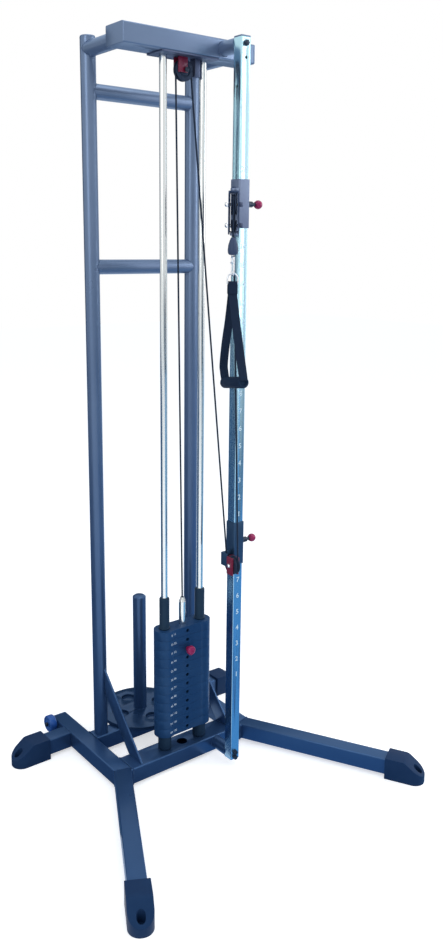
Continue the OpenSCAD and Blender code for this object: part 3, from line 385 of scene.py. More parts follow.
def bead_tree():
    """Geometry nodes: overlapping flat drops along a path, as a weld bead."""
    tree = bpy.data.node_groups.new("weld_bead", "GeometryNodeTree")
    face = tree.interface
    face.new_socket("Path", in_out="INPUT", socket_type="NodeSocketGeometry")
    face.new_socket("Pitch", in_out="INPUT", socket_type="NodeSocketFloat")
    face.new_socket("Width", in_out="INPUT", socket_type="NodeSocketFloat")
    face.new_socket("Finish", in_out="INPUT", socket_type="NodeSocketMaterial")
    face.new_socket("Bead", in_out="OUTPUT", socket_type="NodeSocketGeometry")
    n, link = tree.nodes, tree.links.new
    inp, out = n.new("NodeGroupInput"), n.new("NodeGroupOutput")
    curve = n.new("GeometryNodeMeshToCurve")
    link(inp.outputs["Path"], curve.inputs["Mesh"])
    points = n.new("GeometryNodeCurveToPoints")
    points.mode = "LENGTH"
    link(curve.outputs[0], points.inputs["Curve"])
    link(inp.outputs["Pitch"], points.inputs["Length"])
    drop = n.new("GeometryNodeMeshIcoSphere")
    drop.inputs["Subdivisions"].default_value = 2
    link(inp.outputs["Width"], drop.inputs["Radius"])
    place = n.new("GeometryNodeInstanceOnPoints")
    link(points.outputs["Points"], place.inputs["Points"])
    link(points.outputs["Rotation"], place.inputs["Rotation"])
    link(drop.outputs["Mesh"], place.inputs["Instance"])
    place.inputs["Scale"].default_value = (1.0, 1.0, 0.55)
    real = n.new("GeometryNodeRealizeInstances")
    link(place.outputs[0], real.inputs[0])
    paint = n.new("GeometryNodeSetMaterial")
    link(real.outputs[0], paint.inputs["Geometry"])
    link(inp.outputs["Finish"], paint.inputs["Material"])
    link(paint.outputs[0], out.inputs["Bead"])
    return tree


bead_nodes = bead_tree()


def weld(name, paths, body, width=0.0016, pitch=0.0024, material=None):
    """Weld beads along closed paths of points."""
    verts, edges = [], []
    for path in paths:
        first = len(verts)
        verts += [tuple(p) for p in path]
        edges += [(first + i, first + (i + 1) % len(path)) for i in range(len(path))]
    mesh = bpy.data.meshes.new(name + "_path")
    mesh.from_pydata(verts, edges, [])
    line = bpy.data.objects.new(name + "_path", mesh)
    bpy.context.scene.collection.objects.link(line)
    run = line.modifiers.new("bead", "NODES")
    run.node_group = bead_nodes
    ids = {s.name: s.identifier for s in bead_nodes.interface.items_tree if s.in_out == "INPUT"}
    run[ids["Pitch"]] = pitch
    run[ids["Width"]] = width
    run[ids["Finish"]] = material or frame_paint
    done = plain_mesh(line)
    bpy.data.objects.remove(line)
    return piece(name, done, None, body)


def ring(centre, axis, radius, count=40, cope=None):
    """Points of a circle; with cope = (point, radius) they lie on that upright tube."""
    axis = Vector(axis).normalized()
    side = axis.orthogonal().normalized()
    other = axis.cross(side)
    found = []
    for i in range(count):
        a = 2 * math.pi * i / count
        p = Vector(centre) + radius * (math.cos(a) * side + math.sin(a) * other)
        if cope:
            hub, r = cope
            if abs(axis.x) > 0.5:
                off = max(r * r - (p.y - hub[1]) ** 2, 0) ** 0.5
                p.x = hub[0] + math.copysign(off, centre[0] - hub[0])
            else:
                off = max(r * r - (p.x - hub[0]) ** 2, 0) ** 0.5
                p.y = hub[1] + math.copysign(off, centre[1] - hub[1])
        found.append(p)
    return found


def box_ring(low, high, axis):
    """Points of a rectangle square to an axis, as the outline of a square tube."""
    low, high = Vector(low), Vector(high)
    others = [i for i in range(3) if i != axis]
    a, b = others
    spots = []
    for sa, sb in ((0, 0), (1, 0), (1, 1), (0, 1)):
        p = Vector(low)
        p[a] = (low, high)[sa][a]
        p[b] = (low, high)[sb][b]
        p[axis] = low[axis]
        spots.append(p)
    line = []
    for i in range(4):
        p, q = spots[i], spots[(i + 1) % 4]
        line += [p.lerp(q, t / 6) for t in range(6)]
    return line


cross_low, cross_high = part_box("rear_cross_rail")
front_low, front_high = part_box("front_rail")
side_low, side_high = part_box("right_side_rail")
rail_w = side_high.x - side_low.x
side_mid = (side_low.x + side_high.x) / 2
mitre_y = front_low.y + 0.4 * rail_w
mitre_slope = math.tan(math.radians(14))
rail_beads = []
for s in (-1, 1):
    inner = s * side_low.x
    rail_beads.append(box_ring((inner, cross_low.y, cross_low.z),
                               (inner, cross_low.y + rail_w, cross_high.z), 0))
    rail_beads.append(box_ring((inner, front_low.y, front_low.z), (inner, front_high.y, front_high.z), 0))
    mitre = box_ring((s * side_mid - rail_w / 2, mitre_y, side_low.z),
                     (s * side_mid + rail_w / 2, mitre_y, side_high.z), 1)
    for p in mitre:
        p.y += (s * p.x - side_mid) * mitre_slope
    rail_beads.append(mitre)
weld("base_welds", rail_beads, "frame")


# --- Rubber feet -------------------------------------------------------------
# Moulded rubber boots pushed over the ends of the four legs. Each has a thick
# lip where the tube goes in and a levelling screw sunk in its sloping nose.

boot_rubber = finish("boot_rubber", (0.009, 0.028, 0.082), patch=(0.015, 0.040, 0.105), patch_scale=14,
                     share=0.5, grain=1100, rough=(0.42, 0.6), depth=0.00008, gloss=0.2, tint=(0.3, 0.6, 1.0))
for feet in ("front_feet", "rear_feet"):
    eased(feet, boot_rubber, 0.0035, 4)

screw_steel = finish("screw_steel", (0.026, 0.038, 0.060), patch=(0.06, 0.08, 0.11), patch_scale=60,
                     share=0.4, grain=2200, rough=(0.3, 0.45), metal=0.8)


def lathe(profile, count=40, at=(0, 0, 0), axis=(0, 0, 1)):
    """A turned mesh: profile is (radius, height) pairs along the axis."""
    shape = bmesh.new()
    rows = []
    for r, h in profile:
        if r < 1e-7:
            rows.append([shape.verts.new((0, 0, h))])
        else:
            rows.append([shape.verts.new((r * math.cos(2 * math.pi * i / count),
                                          r * math.sin(2 * math.pi * i / count), h)) for i in range(count)])
    for a, b in zip(rows, rows[1:]):
        for i in range(count):
            j = (i + 1) % count
            if len(a) == 1 and len(b) == 1:
                continue
            if len(a) == 1:
                shape.faces.new((a[0], b[j], b[i]))
            elif len(b) == 1:
                shape.faces.new((a[i], a[j], b[0]))
            else:
                shape.faces.new((a[i], a[j], b[j], b[i]))
    if len(rows[0]) > 1:
        shape.faces.new(rows[0][::-1])
    if len(rows[-1]) > 1:
        shape.faces.new(rows[-1])
    bmesh.ops.recalc_face_normals(shape, faces=shape.faces)
    mesh = bpy.data.meshes.new("turned")
    shape.to_mesh(mesh)
    shape.free()
    turn = Vector((0, 0, 1)).rotation_difference(Vector(axis)).to_matrix().to_4x4()
    mesh.transform(Matrix.Translation(Vector(at)) @ turn)
    return mesh


def joined(meshes):
    """Several meshes as one."""
    shape = bmesh.new()
    for mesh in meshes:
        shape.from_mesh(mesh)
        bpy.data.meshes.remove(mesh)
    whole = bpy.data.meshes.new("joined")
    shape.to_mesh(whole)
    shape.free()
    return whole


# --- Transport wheels --------------------------------------------------------
# Two blue rollers at the back, one on each side rail, on a bolt with a washer.

wheel_blue = finish("wheel_blue", (0.020, 0.085, 0.34), patch=(0.032, 0.11, 0.40), patch_scale=30,
                    share=0.4, grain=1500, rough=(0.22, 0.34), coat=0.2, gloss=0.4, tint=(0.4, 0.7, 1.0))
for wheel in ("left_wheel", "right_wheel"):
    eased(wheel, wheel_blue, 0.0006)


# --- Uprights and top --------------------------------------------------------
# Round tube uprights with two crossbars, short arms and a rectangular beam,
# all welded and coated with the base. Flat bars brace the uprights.

for tube in ("left_upright", "right_upright", "crossbars", "top_arms"):
    dress(tube, frame_paint)
for bar in ("top_beam", "braces"):
    eased(bar, frame_paint, 0.0008)
up_low, up_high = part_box("right_upright")
up_x, up_y = (up_low.x + up_high.x) / 2, (up_low.y + up_high.y) / 2
tube_r = (up_high.x - up_low.x) / 2
bars_low, bars_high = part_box("crossbars")
bar_r = (bars_high.y - bars_low.y) / 2
beam_low, beam_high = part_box("top_beam")
beam_z = (beam_low.z + beam_high.z) / 2
top_beads = []
for s in (-1, 1):
    hub = (s * up_x, up_y)
    top_beads.append(ring((s * up_x, up_y, up_low.z), (0, 0, 1), tube_r, 64))
    for z in (bars_low.z + bar_r, bars_high.z - bar_r):
        top_beads.append(ring((s * (up_x - 0.02), up_y, z), (1, 0, 0), bar_r, 64, (hub, tube_r)))
    top_beads.append(ring((s * up_x, up_y - 0.02, beam_z), (0, 1, 0), bar_r, 64, (hub, tube_r)))
    top_beads.append(ring((s * up_x, beam_high.y, beam_z), (0, 1, 0), bar_r, 64))
weld("upright_welds", top_beads, "frame")
eased("end_caps", frame_paint, 0.0008)


# --- Weight storage ----------------------------------------------------------
# A steel disc with four round pockets behind the stack, and a welded post on
# which loose plates are kept.

disc_steel = finish("disc_steel", (0.018, 0.050, 0.125), patch=(0.030, 0.07, 0.15), patch_scale=9, share=0.6,
                    grain=1000, rough=(0.22, 0.36), metal=0.5, coat=0.15, gloss=0.35, tint=(0.45, 0.7, 1.0))
eased("storage_disc", disc_steel, 0.0008)
eased("storage_post", frame_paint, 0.0006)
post_low, post_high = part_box("storage_post")
post_mid = (post_low + post_high) / 2
weld("post_weld", [ring((post_mid.x, post_mid.y, post_low.z), (0, 0, 1), tube_r, 64)], "frame")


# --- Guide rods and bumpers --------------------------------------------------
# Polished rods between the front rail and the beam, with rubber bumpers.

rod_chrome = finish("rod_chrome", (0.70, 0.73, 0.73), patch=(0.61, 0.66, 0.68), patch_scale=8, share=0.5,
                    stretch=(1, 1, 0.04), grain=1600, rough=(0.10, 0.20), metal=1.0, depth=0.000004)
dress("guide_rods", rod_chrome)
bumper_rubber = finish("bumper_rubber", (0.012, 0.030, 0.062), grain=900, rough=(0.5, 0.65), depth=0.00008,
                       gloss=0.25, tint=(0.4, 0.7, 1.0))
eased("bumpers", bumper_rubber, 0.0008)
dark_steel = finish("dark_steel", (0.085, 0.105, 0.175), patch=(0.11, 0.13, 0.20), patch_scale=18,
                    share=0.5, grain=1300, rough=(0.35, 0.5), metal=0.5, gloss=0.35, tint=(0.5, 0.7, 1.0))
eased("rod_plate", dark_steel, 0.0006)


# --- Weight stack ------------------------------------------------------------
# Enamelled plates with a pin hole each; the top plate is fixed to the stem.
# The lower chamfer of every plate gets a painted shade, so the joints show as thin dark lines.

plate_enamel = finish("plate_enamel", (0.012, 0.048, 0.135), patch=(0.022, 0.068, 0.165), patch_scale=11,
                      share=0.5, grain=700, rough=(0.36, 0.52), metal=0.2, coat=0.05, depth=0.00012,
                      gloss=0.25, tint=(0.35, 0.65, 1.0))
painted_joint_shade = finish("painted_joint_shade", (0.003, 0.011, 0.032), grain=700, rough=(0.5, 0.65), depth=0.00012,
                     gloss=0.15, tint=(0.35, 0.65, 1.0))
for plates in ("lower_plates", "lifted_plates", "top_plate"):
    stacked = eased(plates, plate_enamel, 0.0024, 3)
    stacked.data.materials.append(painted_joint_shade)
    # Faces that look downwards get the painted shade material.
    for side in stacked.data.polygons:
        side.material_index = int(-0.98 < side.normal.z < -0.1)
mark_white = finish("mark_white", (0.62, 0.72, 0.82), patch=(0.45, 0.55, 0.68), patch_scale=400, share=0.7,
                    grain=3000, rough=(0.5, 0.6))


def figure(text, size, place):
    """A printed number that faces the front, as a mesh."""
    words = bpy.data.curves.new("figure", "FONT")
    words.body = text
    words.size = size
    words.align_x = "CENTER"
    words.align_y = "CENTER"
    words.resolution_u = 3
    words.offset = size * 0.012
    held = bpy.data.objects.new("figure", words)
    held.matrix_world = Matrix.Translation(Vector(place)) @ Matrix.Rotation(math.radians(90), 4, "X")
    bpy.context.scene.collection.objects.link(held)
    mesh = plain_mesh(held)
    bpy.data.objects.remove(held)
    return mesh


stack_low, stack_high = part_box("lower_plates")
top_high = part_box("top_plate")[1]
lift_low, lift_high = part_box("lifted_plates")
stack_mid_y = (stack_low.y + stack_high.y) / 2
ear_r = (stack_high.y - stack_low.y) / 2
ear_x = stack_high.x - ear_r
flat_half = 0.028
label_drop, label_x = 0.0135, -0.0525
plate_pitch = (lift_high.z - lift_low.z + 0.0004) / 2
label_sets = {"frame": [], "stack": []}
for k in range(12):
    level = top_high.z - label_drop - k * plate_pitch
    mesh = figure("%d  %d" % (5 * (k + 1), 11 * (k + 1)), 0.0088, (label_x, 0, level))
    for v in mesh.vertices:
        round_y = math.sqrt(max(ear_r ** 2 - (v.co.x + ear_x) ** 2, 0)) if v.co.x < -ear_x + ear_r else 0
        v.co.y = stack_mid_y - max(flat_half, round_y) - 0.00012
    label_sets["stack" if level > lift_low.z else "frame"].append(mesh)
for body, marks in label_sets.items():
    piece("plate_numbers_" + body, joined(marks), mark_white, body)
sleeve_plastic = finish("sleeve_plastic", (0.012, 0.028, 0.055), grain=1500, rough=(0.35, 0.5),
                        gloss=0.3, tint=(0.4, 0.7, 1.0))
eased("guide_sleeves", sleeve_plastic, 0.0006)
dress("selector_stem", rod_chrome)
knob_red = finish("knob_red", (0.30, 0.012, 0.078), patch=(0.36, 0.022, 0.098), patch_scale=50, share=0.4,
                  grain=1600, rough=(0.22, 0.34), coat=0.15, gloss=0.4, tint=(0.8, 0.6, 1.0))
pin_low, pin_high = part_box("selector_pin")
pin_at = Vector(((pin_low.x + pin_high.x) / 2, pin_low.y, (pin_low.z + pin_high.z) / 2))
shank = lathe([(0.0, 0.0), (0.0032, 0.0), (0.0045, 0.0015), (0.0045, pin_high.y - pin_low.y - 0.02)], 32,
              (pin_at.x, pin_high.y, pin_at.z), (0, -1, 0))
piece("pin_shank", shank, rod_chrome, "selector_pin_body")
knob_r = (pin_high.x - pin_low.x) / 2
knob = lathe([(0.0, 0.0015), (0.0022, 0.0015), (0.0024, 0.0), (knob_r - 0.006, 0.0002),
              (knob_r - 0.003, 0.0012),
              (knob_r - 0.0008, 0.0034), (knob_r, 0.006), (knob_r, 0.0098), (knob_r - 0.0008, 0.012),
              (knob_r - 0.004, 0.0142), (0.0085, 0.017), (0.0072, 0.019), (0.007, 0.0239), (0.0, 0.0239)], 56,
             pin_at, (0, 1, 0))
pin_knob = piece("pin_knob", knob, knob_red, "selector_pin_body")
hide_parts("selector_pin")


# --- Top pulley --------------------------------------------------------------
# A dark nylon sheave in a red bent strap under the rod plate. The other sheaves
# have the same finish.

sheave_nylon = finish("sheave_nylon", (0.022, 0.032, 0.060), patch=(0.035, 0.048, 0.085), patch_scale=40,
                      share=0.4, grain=1300, rough=(0.42, 0.55), gloss=0.25, tint=(0.45, 0.65, 1.0))
for wheel in ("top_sheave", "lower_sheave", "main_sheave", "guide_sheave"):
    eased(wheel, sheave_nylon, 0.0005)
red_enamel = finish("red_enamel", (0.19, 0.013, 0.038), patch=(0.24, 0.022, 0.052), patch_scale=30, share=0.4,
                    grain=1200, rough=(0.28, 0.4), coat=0.15, gloss=0.4, tint=(0.7, 0.7, 1.0))
eased("top_pulley_bracket", red_enamel, 0.0006)
eased("cable_keeper", dark_steel, 0.0008)


# --- Column ------------------------------------------------------------------
# A bright drawn rectangular tube, numbered on the front and drilled on the
# right for the pop pins, held off the frame by two round stubs.

# Painted reflection: the bright zinc fades to blue towards the floor.
column_zinc = finish("column_zinc", (0.48, 0.74, 0.84), patch=(0.40, 0.66, 0.77), patch_scale=10, share=0.7,
                     stretch=(1, 1, 0.05), grain=900, rough=(0.16, 0.28), metal=1.0, depth=0.00001,
                     low=(0.29, 0.50, 0.69), painted_light_fade=(0.3, 1.6))
eased("column", column_zinc, 0.0004)
column_low, column_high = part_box("column")
column_mid = (column_low + column_high) / 2
numbers = []
for count, first in ((7, 0.306), (20, 0.806)):
    for k in range(count):
        numbers.append(figure(str(k + 1), 0.0205, (column_mid.x, column_low.y - 0.00012, first + 0.05 * k)))
mark_pale = finish("mark_pale", (0.60, 0.78, 0.90), grain=3000, rough=(0.4, 0.5), gloss=0.2)
piece("column_numbers", joined(numbers), mark_pale, "frame")
dress("column_stubs", frame_paint)
eased("frame_bolts", screw_steel, 0.0004)
stub_low, stub_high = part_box("column_stubs")
stub_r = (stub_high.x - stub_low.x) / 2
weld("stub_welds", [ring((column_mid.x, beam_low.y, beam_z), (0, 1, 0), stub_r, 64),
                    ring((column_mid.x, front_low.y, stub_low.z + stub_r), (0, 1, 0), stub_r, 64)], "frame")


# --- Carriages ---------------------------------------------------------------
# Coated steel collars with spring pop pins; the lower one carries a sheave in
# a red guard, the upper one the lugs of the swivelling block.

# Painted shade: the coat fades darker towards the floor, so the lower collar is darker than the upper one.
collar_coat = finish("collar_coat", (0.16, 0.20, 0.30), patch=(0.19, 0.24, 0.34), patch_scale=12, share=0.5,
                     grain=1200, rough=(0.3, 0.42), metal=0.5, coat=0.1, low=(0.032, 0.074, 0.145),
                     painted_light_fade=(0.75, 1.6), gloss=0.35, tint=(0.5, 0.7, 1.0))
for part in ("lower_collar", "upper_collar"):
    eased(part, collar_coat, 0.0005)
eased("lower_pulley_housing", red_enamel, 0.0006)
for part in ("lower_pop_barrel", "upper_pop_barrel"):
    eased(part, screw_steel, 0.0004)
for part in ("lower_pop_pin", "upper_pop_pin"):
    low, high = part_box(part)
    mid = (low + high) / 2
    ball_r = (high.z - low.z) / 2
    body = frame["nodes"][part]["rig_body"]
    neck_len = high.x - low.x - 2 * ball_r + 0.003
    neck = lathe([(0.0, 0.0), (0.0035, 0.0), (0.0045, 0.001), (0.0045, neck_len)], 32,
                 (low.x, mid.y, mid.z), (1, 0, 0))
    piece(part + "_plunger", neck, screw_steel, body)
    turned = [(0.0, 0.0005), (0.006, 0.0), (0.0075, 0.0012)]
    for k in range(3, 18):
        a = math.pi * k / 18
        turned.append((ball_r * math.sin(a), ball_r - ball_r * math.cos(a)))
    turned.append((0.0, 2 * ball_r))
    ball = piece(part + "_ball", lathe(turned, 48, (high.x - 2 * ball_r, mid.y, mid.z), (1, 0, 0)), knob_red,
                 body)
    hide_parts(part)
nut_chrome = finish("nut_chrome", (0.75, 0.78, 0.82), patch=(0.6, 0.65, 0.7), patch_scale=60, share=0.4,
                    grain=2000, rough=(0.12, 0.22), metal=1.0)
for part in ("lower_axle", "block_axles"):
    eased(part, nut_chrome, 0.0004)
nut_line = 0.0141
sheave_at = {}
for wheel in ("main_sheave", "guide_sheave"):
    low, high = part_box(wheel)
    sheave_at[wheel] = (low + high) / 2
block_ahead = sheave_at["main_sheave"] - sheave_at["guide_sheave"]
block_ahead.z = 0
block_right = block_ahead.normalized().cross(Vector((0, 0, -1)))
axles = bpy.data.objects["block_axles_finish"].data
axles.materials.append(dark_steel)
for side in axles.polygons:
    side.material_index = int((side.center - sheave_at["main_sheave"]).dot(block_right) > nut_line)
block_coat = finish("block_coat", (0.020, 0.036, 0.082), patch=(0.035, 0.055, 0.11), patch_scale=20,
                    share=0.5, grain=1200,
                    rough=(0.3, 0.45), metal=0.3, coat=0.05, gloss=0.3, tint=(0.5, 0.7, 1.0))
eased("swivel_block", block_coat, 0.0008)


# --- Cable -------------------------------------------------------------------
# One steel cable in a smooth black jacket. Each straight run is a fixed tube between its two ends; the turns
# lie in the grooves.

cable_jacket = finish("cable_jacket", (0.010, 0.017, 0.034), grain=2400, rough=(0.36, 0.5), gloss=0.25,
                      tint=(0.45, 0.65, 1.0))
for turn in ("top_cable_wrap", "low_cable_wrap", "block_cable_wrap"):
    dress(turn, cable_jacket)


def run_ends(node):
    """The middles of a straight run's two ends, low end first."""
    verts = [v.co for v in frame["nodes"][node].data.vertices]
    low = min(v.z for v in verts)
    high = max(v.z for v in verts)
    ends = []
    for level, sign in ((low, 1), (high, -1)):
        near = [v for v in verts if (v.z - level) * sign < 0.0032]
        xs, ys = [v.x for v in near], [v.y for v in near]
        ends.append(Vector(((min(xs) + max(xs)) / 2, (min(ys) + max(ys)) / 2, level + sign * 0.0001)))
    return ends


def run_mesh(low, high, radius=0.0025, rings=60, count=14):
    """A straight run as a tube of many short rings."""
    axis = (high - low).normalized()
    side = axis.orthogonal().normalized()
    other = axis.cross(side)
    verts, faces = [], []
    for k in range(rings + 1):
        mid = low.lerp(high, k / rings)
        for i in range(count):
            a = 2 * math.pi * i / count
            verts.append(mid + radius * (math.cos(a) * side + math.sin(a) * other))
    for k in range(rings):
        for i in range(count):
            j = (i + 1) % count
            faces.append((k * count + i, k * count + j, (k + 1) * count + j, (k + 1) * count + i))
    faces.append(tuple(range(count))[::-1])
    faces.append(tuple(rings * count + i for i in range(count)))
    mesh = bpy.data.meshes.new("run")
    mesh.from_pydata([tuple(v) for v in verts], [], faces)
    return mesh


stack_low_end, stack_high_end = run_ends("stack_cable")
stack_run = piece("stack_run", run_mesh(stack_low_end, stack_high_end), cable_jacket, None)
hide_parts("stack_cable")
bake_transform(stack_run)

slant_low_end, slant_high_end = run_ends("slanted_cable")
slant_run = piece("slant_run", run_mesh(slant_low_end, slant_high_end), cable_jacket, None)
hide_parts("slanted_cable")
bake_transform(slant_run)

riser_low_end, riser_high_end = run_ends("riser_cable")
riser_part = riser_low_end.lerp(riser_high_end, 0.11)
riser_foot = piece("riser_foot", run_mesh(riser_low_end, riser_part), cable_jacket, None)
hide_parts("riser_cable")
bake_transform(riser_foot)
riser_head = piece("riser_head", run_mesh(riser_part, riser_high_end), cable_jacket, None)
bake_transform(riser_head)

neck_low_end, neck_high_end = run_ends("handle_cable")
neck_run = piece("neck_run", run_mesh(neck_low_end, neck_high_end), cable_jacket, None)
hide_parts("handle_cable")
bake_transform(neck_run)


# --- Handle ------------------------------------------------------------------
# A rubber stop ball, a plated snap hook and D-ring, and a webbing strap that
# runs through a foam-covered grip.

ball_rubber = finish("ball_rubber", (0.045, 0.065, 0.125), patch=(0.06, 0.08, 0.145), patch_scale=30,
                     share=0.4, grain=1200, rough=(0.4, 0.55), gloss=0.3, tint=(0.5, 0.7, 1.0))
ball_low, ball_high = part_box("stop_ball")
ball_mid = (ball_low + ball_high) / 2
hang_x, hang_y = ball_mid.x, ball_mid.y


def smooth_profile(points, steps=6):
    """A Catmull-Rom line through a profile's points."""
    line = []
    for i in range(len(points) - 1):
        p0 = points[max(i - 1, 0)]
        p1, p2 = points[i], points[i + 1]
        p3 = points[min(i + 2, len(points) - 1)]
        for k in range(steps):
            t = k / steps
            line.append(tuple(0.5 * (2 * b + (c - a) * t + (2 * a - 5 * b + 4 * c - d) * t * t
                                     + (3 * b - a - 3 * c + d) * t ** 3)
                              for a, b, c, d in zip(p0, p1, p2, p3)))
    line.append(tuple(points[-1]))
    return line


stop_r = (ball_high.x - ball_low.x) / 2
stop_h = ball_high.z - ball_low.z
pear = [(0.0001, 0.0), (0.55, 0.012), (0.86, 0.07), (0.99, 0.2), (0.99, 0.36), (0.88, 0.6), (0.62, 0.85),
        (0.44, 0.97), (0.3, 0.995), (0.0001, 0.999)]
stopper = lathe([(max(r, 0.0001) * stop_r, h * stop_h) for r, h in smooth_profile(pear)], 48,
                (hang_x, hang_y, ball_low.z))
stop_piece = piece("stop_rubber", stopper, ball_rubber, "handle")
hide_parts("stop_ball")
for part in ("snap_hook", "hook_gate", "d_ring"):
    dress(part, nut_chrome)


def weave_group():
    """A flat woven web: ribs across the strap and threads along it."""
    tree = bpy.data.node_groups.new("strap_weave", "ShaderNodeTree")
    face = tree.interface
    face.new_socket("Thread", in_out="INPUT", socket_type="NodeSocketColor")
    face.new_socket("Hollow", in_out="INPUT", socket_type="NodeSocketColor")
    face.new_socket("Across", in_out="INPUT", socket_type="NodeSocketFloat")
    face.new_socket("Along", in_out="INPUT", socket_type="NodeSocketFloat")
    face.new_socket("Colour", in_out="OUTPUT", socket_type="NodeSocketColor")
    face.new_socket("Height", in_out="OUTPUT", socket_type="NodeSocketFloat")
    n, link = tree.nodes, tree.links.new
    inp, out = n.new("NodeGroupInput"), n.new("NodeGroupOutput")
    where = n.new("ShaderNodeTexCoord")
    parts = n.new("ShaderNodeSeparateXYZ")
    link(where.outputs["UV"], parts.inputs[0])
    waves = []
    for axis, rate in ((0, "Across"), (1, "Along")):
        scale = n.new("ShaderNodeMath")
        scale.operation = "MULTIPLY"
        link(parts.outputs[axis], scale.inputs[0])
        link(inp.outputs[rate], scale.inputs[1])
        wave = n.new("ShaderNodeMath")
        wave.operation = "SINE"
        link(scale.outputs[0], wave.inputs[0])
        waves.append(wave)
    both = n.new("ShaderNodeMath")
    both.operation = "MULTIPLY"
    link(waves[0].outputs[0], both.inputs[0])
    link(waves[1].outputs[0], both.inputs[1])
    level = n.new("ShaderNodeMapRange")
    level.inputs["From Min"].default_value = -1
    link(both.outputs[0], level.inputs["Value"])
    mix = n.new("ShaderNodeMix")
    mix.data_type = "RGBA"
    link(level.outputs[0], mix.inputs[0])
    link(inp.outputs["Hollow"], mix.inputs[6])
    link(inp.outputs["Thread"], mix.inputs[7])
    link(mix.outputs[2], out.inputs["Colour"])
    link(level.outputs[0], out.inputs["Height"])
    return tree


webbing_cloth = bpy.data.materials.new("webbing_cloth")
webbing_cloth.use_nodes = True
cloth_nodes, cloth_link = webbing_cloth.node_tree.nodes, webbing_cloth.node_tree.links.new
cloth_skin = cloth_nodes["Principled BSDF"]
cloth_weave = cloth_nodes.new("ShaderNodeGroup")
cloth_weave.node_tree = weave_group()
cloth_weave.inputs["Thread"].default_value = (0.008, 0.024, 0.062, 1)
cloth_weave.inputs["Hollow"].default_value = (0.004, 0.010, 0.024, 1)
cloth_weave.inputs["Across"].default_value = 2 * math.pi / 0.0021
cloth_weave.inputs["Along"].default_value = 2 * math.pi / 0.0030
cloth_bump = cloth_nodes.new("ShaderNodeBump")
cloth_bump.inputs["Distance"].default_value = 0.0004
cloth_link(cloth_weave.outputs["Colour"], cloth_skin.inputs["Base Color"])
cloth_link(cloth_weave.outputs["Height"], cloth_bump.inputs["Height"])
cloth_link(cloth_bump.outputs[0], cloth_skin.inputs["Normal"])
cloth_skin.inputs["Roughness"].default_value = 0.78
cloth_skin.inputs["Specular IOR Level"].default_value = 0.15

handle_turn = math.radians(-14)
handle_place = Matrix.Translation((hang_x, hang_y, 0)) @ Matrix.Rotation(handle_turn, 4, "Z")
grip_low, grip_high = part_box("hand_grip")
ring_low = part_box("d_ring")[0]
grip_mid = (grip_low + grip_high) / 2
grip_tilt = math.radians(8)
grip_shift = 0.018
grip_half = 0.058
grip_axis = Vector((0, -math.cos(grip_tilt), math.sin(grip_tilt)))
grip_seat = Vector((0, -grip_shift, grip_mid.z))
web_w, web_t = 0.0125, 0.0013
bar_z = ring_low.z + 0.002


def web_band(path, half=web_w, thick=web_t):
    """A flat band along a path in the handle's plane, with soft edges and a UV map in metres."""
    rows = []
    run = 0.0
    lengths = []
    for i, (y, z) in enumerate(path):
        a = path[max(i - 1, 0)]
        b = path[min(i + 1, len(path) - 1)]
        d = Vector((b[0] - a[0], b[1] - a[1])).normalized()
        n = Vector((-d.y, d.x))
        if i:
            run += math.dist(path[i - 1], path[i])
        lengths.append(run)
        section = []
        for x, t in ((-1, -0.35), (-0.97, -1), (-0.5, -1.0), (0, -1.0), (0.5, -1.0), (0.97, -1), (1, -0.35),
                     (1, 0.35), (0.97, 1), (0.5, 1.0), (0, 1.0), (-0.5, 1.0), (-0.97, 1), (-1, 0.35)):
            section.append(Vector((x * half, y + n.x * t * thick, z + n.y * t * thick)))
        rows.append(section)
    shape = bmesh.new()
    uv = shape.loops.layers.uv.new("UVMap")
    made = [[shape.verts.new(p) for p in row] for row in rows]
    count = len(made[0])
    for k in range(len(made) - 1):
        for i in range(count):
            j = (i + 1) % count
            face = shape.faces.new((made[k][i], made[k][j], made[k + 1][j], made[k + 1][i]))
            for loop, (row, col) in zip(face.loops, ((k, i), (k, j), (k + 1, j), (k + 1, i))):
                loop[uv].uv = (rows[row][col].x, lengths[row])
    shape.faces.new(made[0][::-1])
    shape.faces.new(made[-1])
    bmesh.ops.recalc_face_normals(shape, faces=shape.faces)
    mesh = bpy.data.meshes.new("band")
    shape.to_mesh(mesh)
    shape.free()
    return mesh


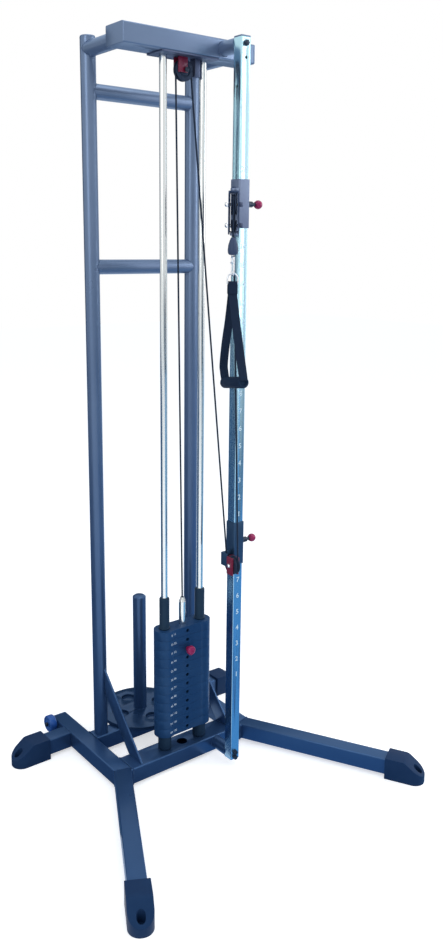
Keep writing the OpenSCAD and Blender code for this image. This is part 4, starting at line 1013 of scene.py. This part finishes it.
keeper_low = bar_z - 0.028
near_end = grip_seat + grip_axis * (grip_half - 0.004)
far_end = grip_seat - grip_axis * (grip_half - 0.004)
near_path = smooth_profile([(-0.0019, bar_z - 0.004), (-0.0019, keeper_low), (-0.022, keeper_low - 0.066),
                            (-0.052, keeper_low - 0.155), (near_end.y - 0.001, near_end.z + 0.012),
                            (near_end.y, near_end.z + 0.006)], 10)
far_path = smooth_profile([(0.0019, bar_z - 0.004), (0.0019, keeper_low), (0.017, keeper_low - 0.066),
                           (0.037, keeper_low - 0.132), (far_end.y + 0.0135, far_end.z + 0.050),
                           (far_end.y + 0.010, far_end.z + 0.028),
                           (far_end.y + 0.001, far_end.z + 0.006)], 10)
eye_path = []
for k in range(13):
    a = math.pi * k / 12
    eye_path.append((-0.0036 * math.cos(a), bar_z + 0.0036 * math.sin(a)))
eye_path = [(-0.0030, bar_z - 0.012)] + eye_path + [(0.0030, bar_z - 0.012)]
keeper = []
for side in (-1, 1):
    keeper.append(web_band([(side * 0.0045, bar_z - 0.004 - 0.006 * k) for k in range(5)], 0.0130, 0.0010))
bands = joined([web_band(near_path), web_band(far_path), web_band(eye_path, 0.0120, 0.0010)] + keeper)
bands.transform(handle_place)
strap_web = piece("strap_web", bands, webbing_cloth, "handle")
grip_foam = finish("grip_foam", (0.006, 0.016, 0.042), patch=(0.012, 0.025, 0.055), patch_scale=60, share=0.4,
                   grain=2600, rough=(0.6, 0.75), depth=0.00015, gloss=0.2, tint=(0.4, 0.7, 1.0))
caps = []
for way in (-1, 1):
    tip = grip_seat + grip_axis * (way * grip_half)
    caps.append(lathe([(0.0, 0.003), (0.0088, 0.003), (0.0094, 0.0024), (0.0096, 0.0003), (0.0102, 0.0),
                       (0.0138, 0.0), (0.0150, 0.0008), (0.0155, 0.0022), (0.0155, 0.0078),
                       (0.0, 0.0079)], 48, tip, -way * grip_axis))
cap_mesh = joined(caps)
cap_mesh.transform(handle_place)
piece("grip_caps", cap_mesh, grip_foam, "handle")
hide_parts("strap")
eased("hand_grip", grip_foam, 0.0006, 2)
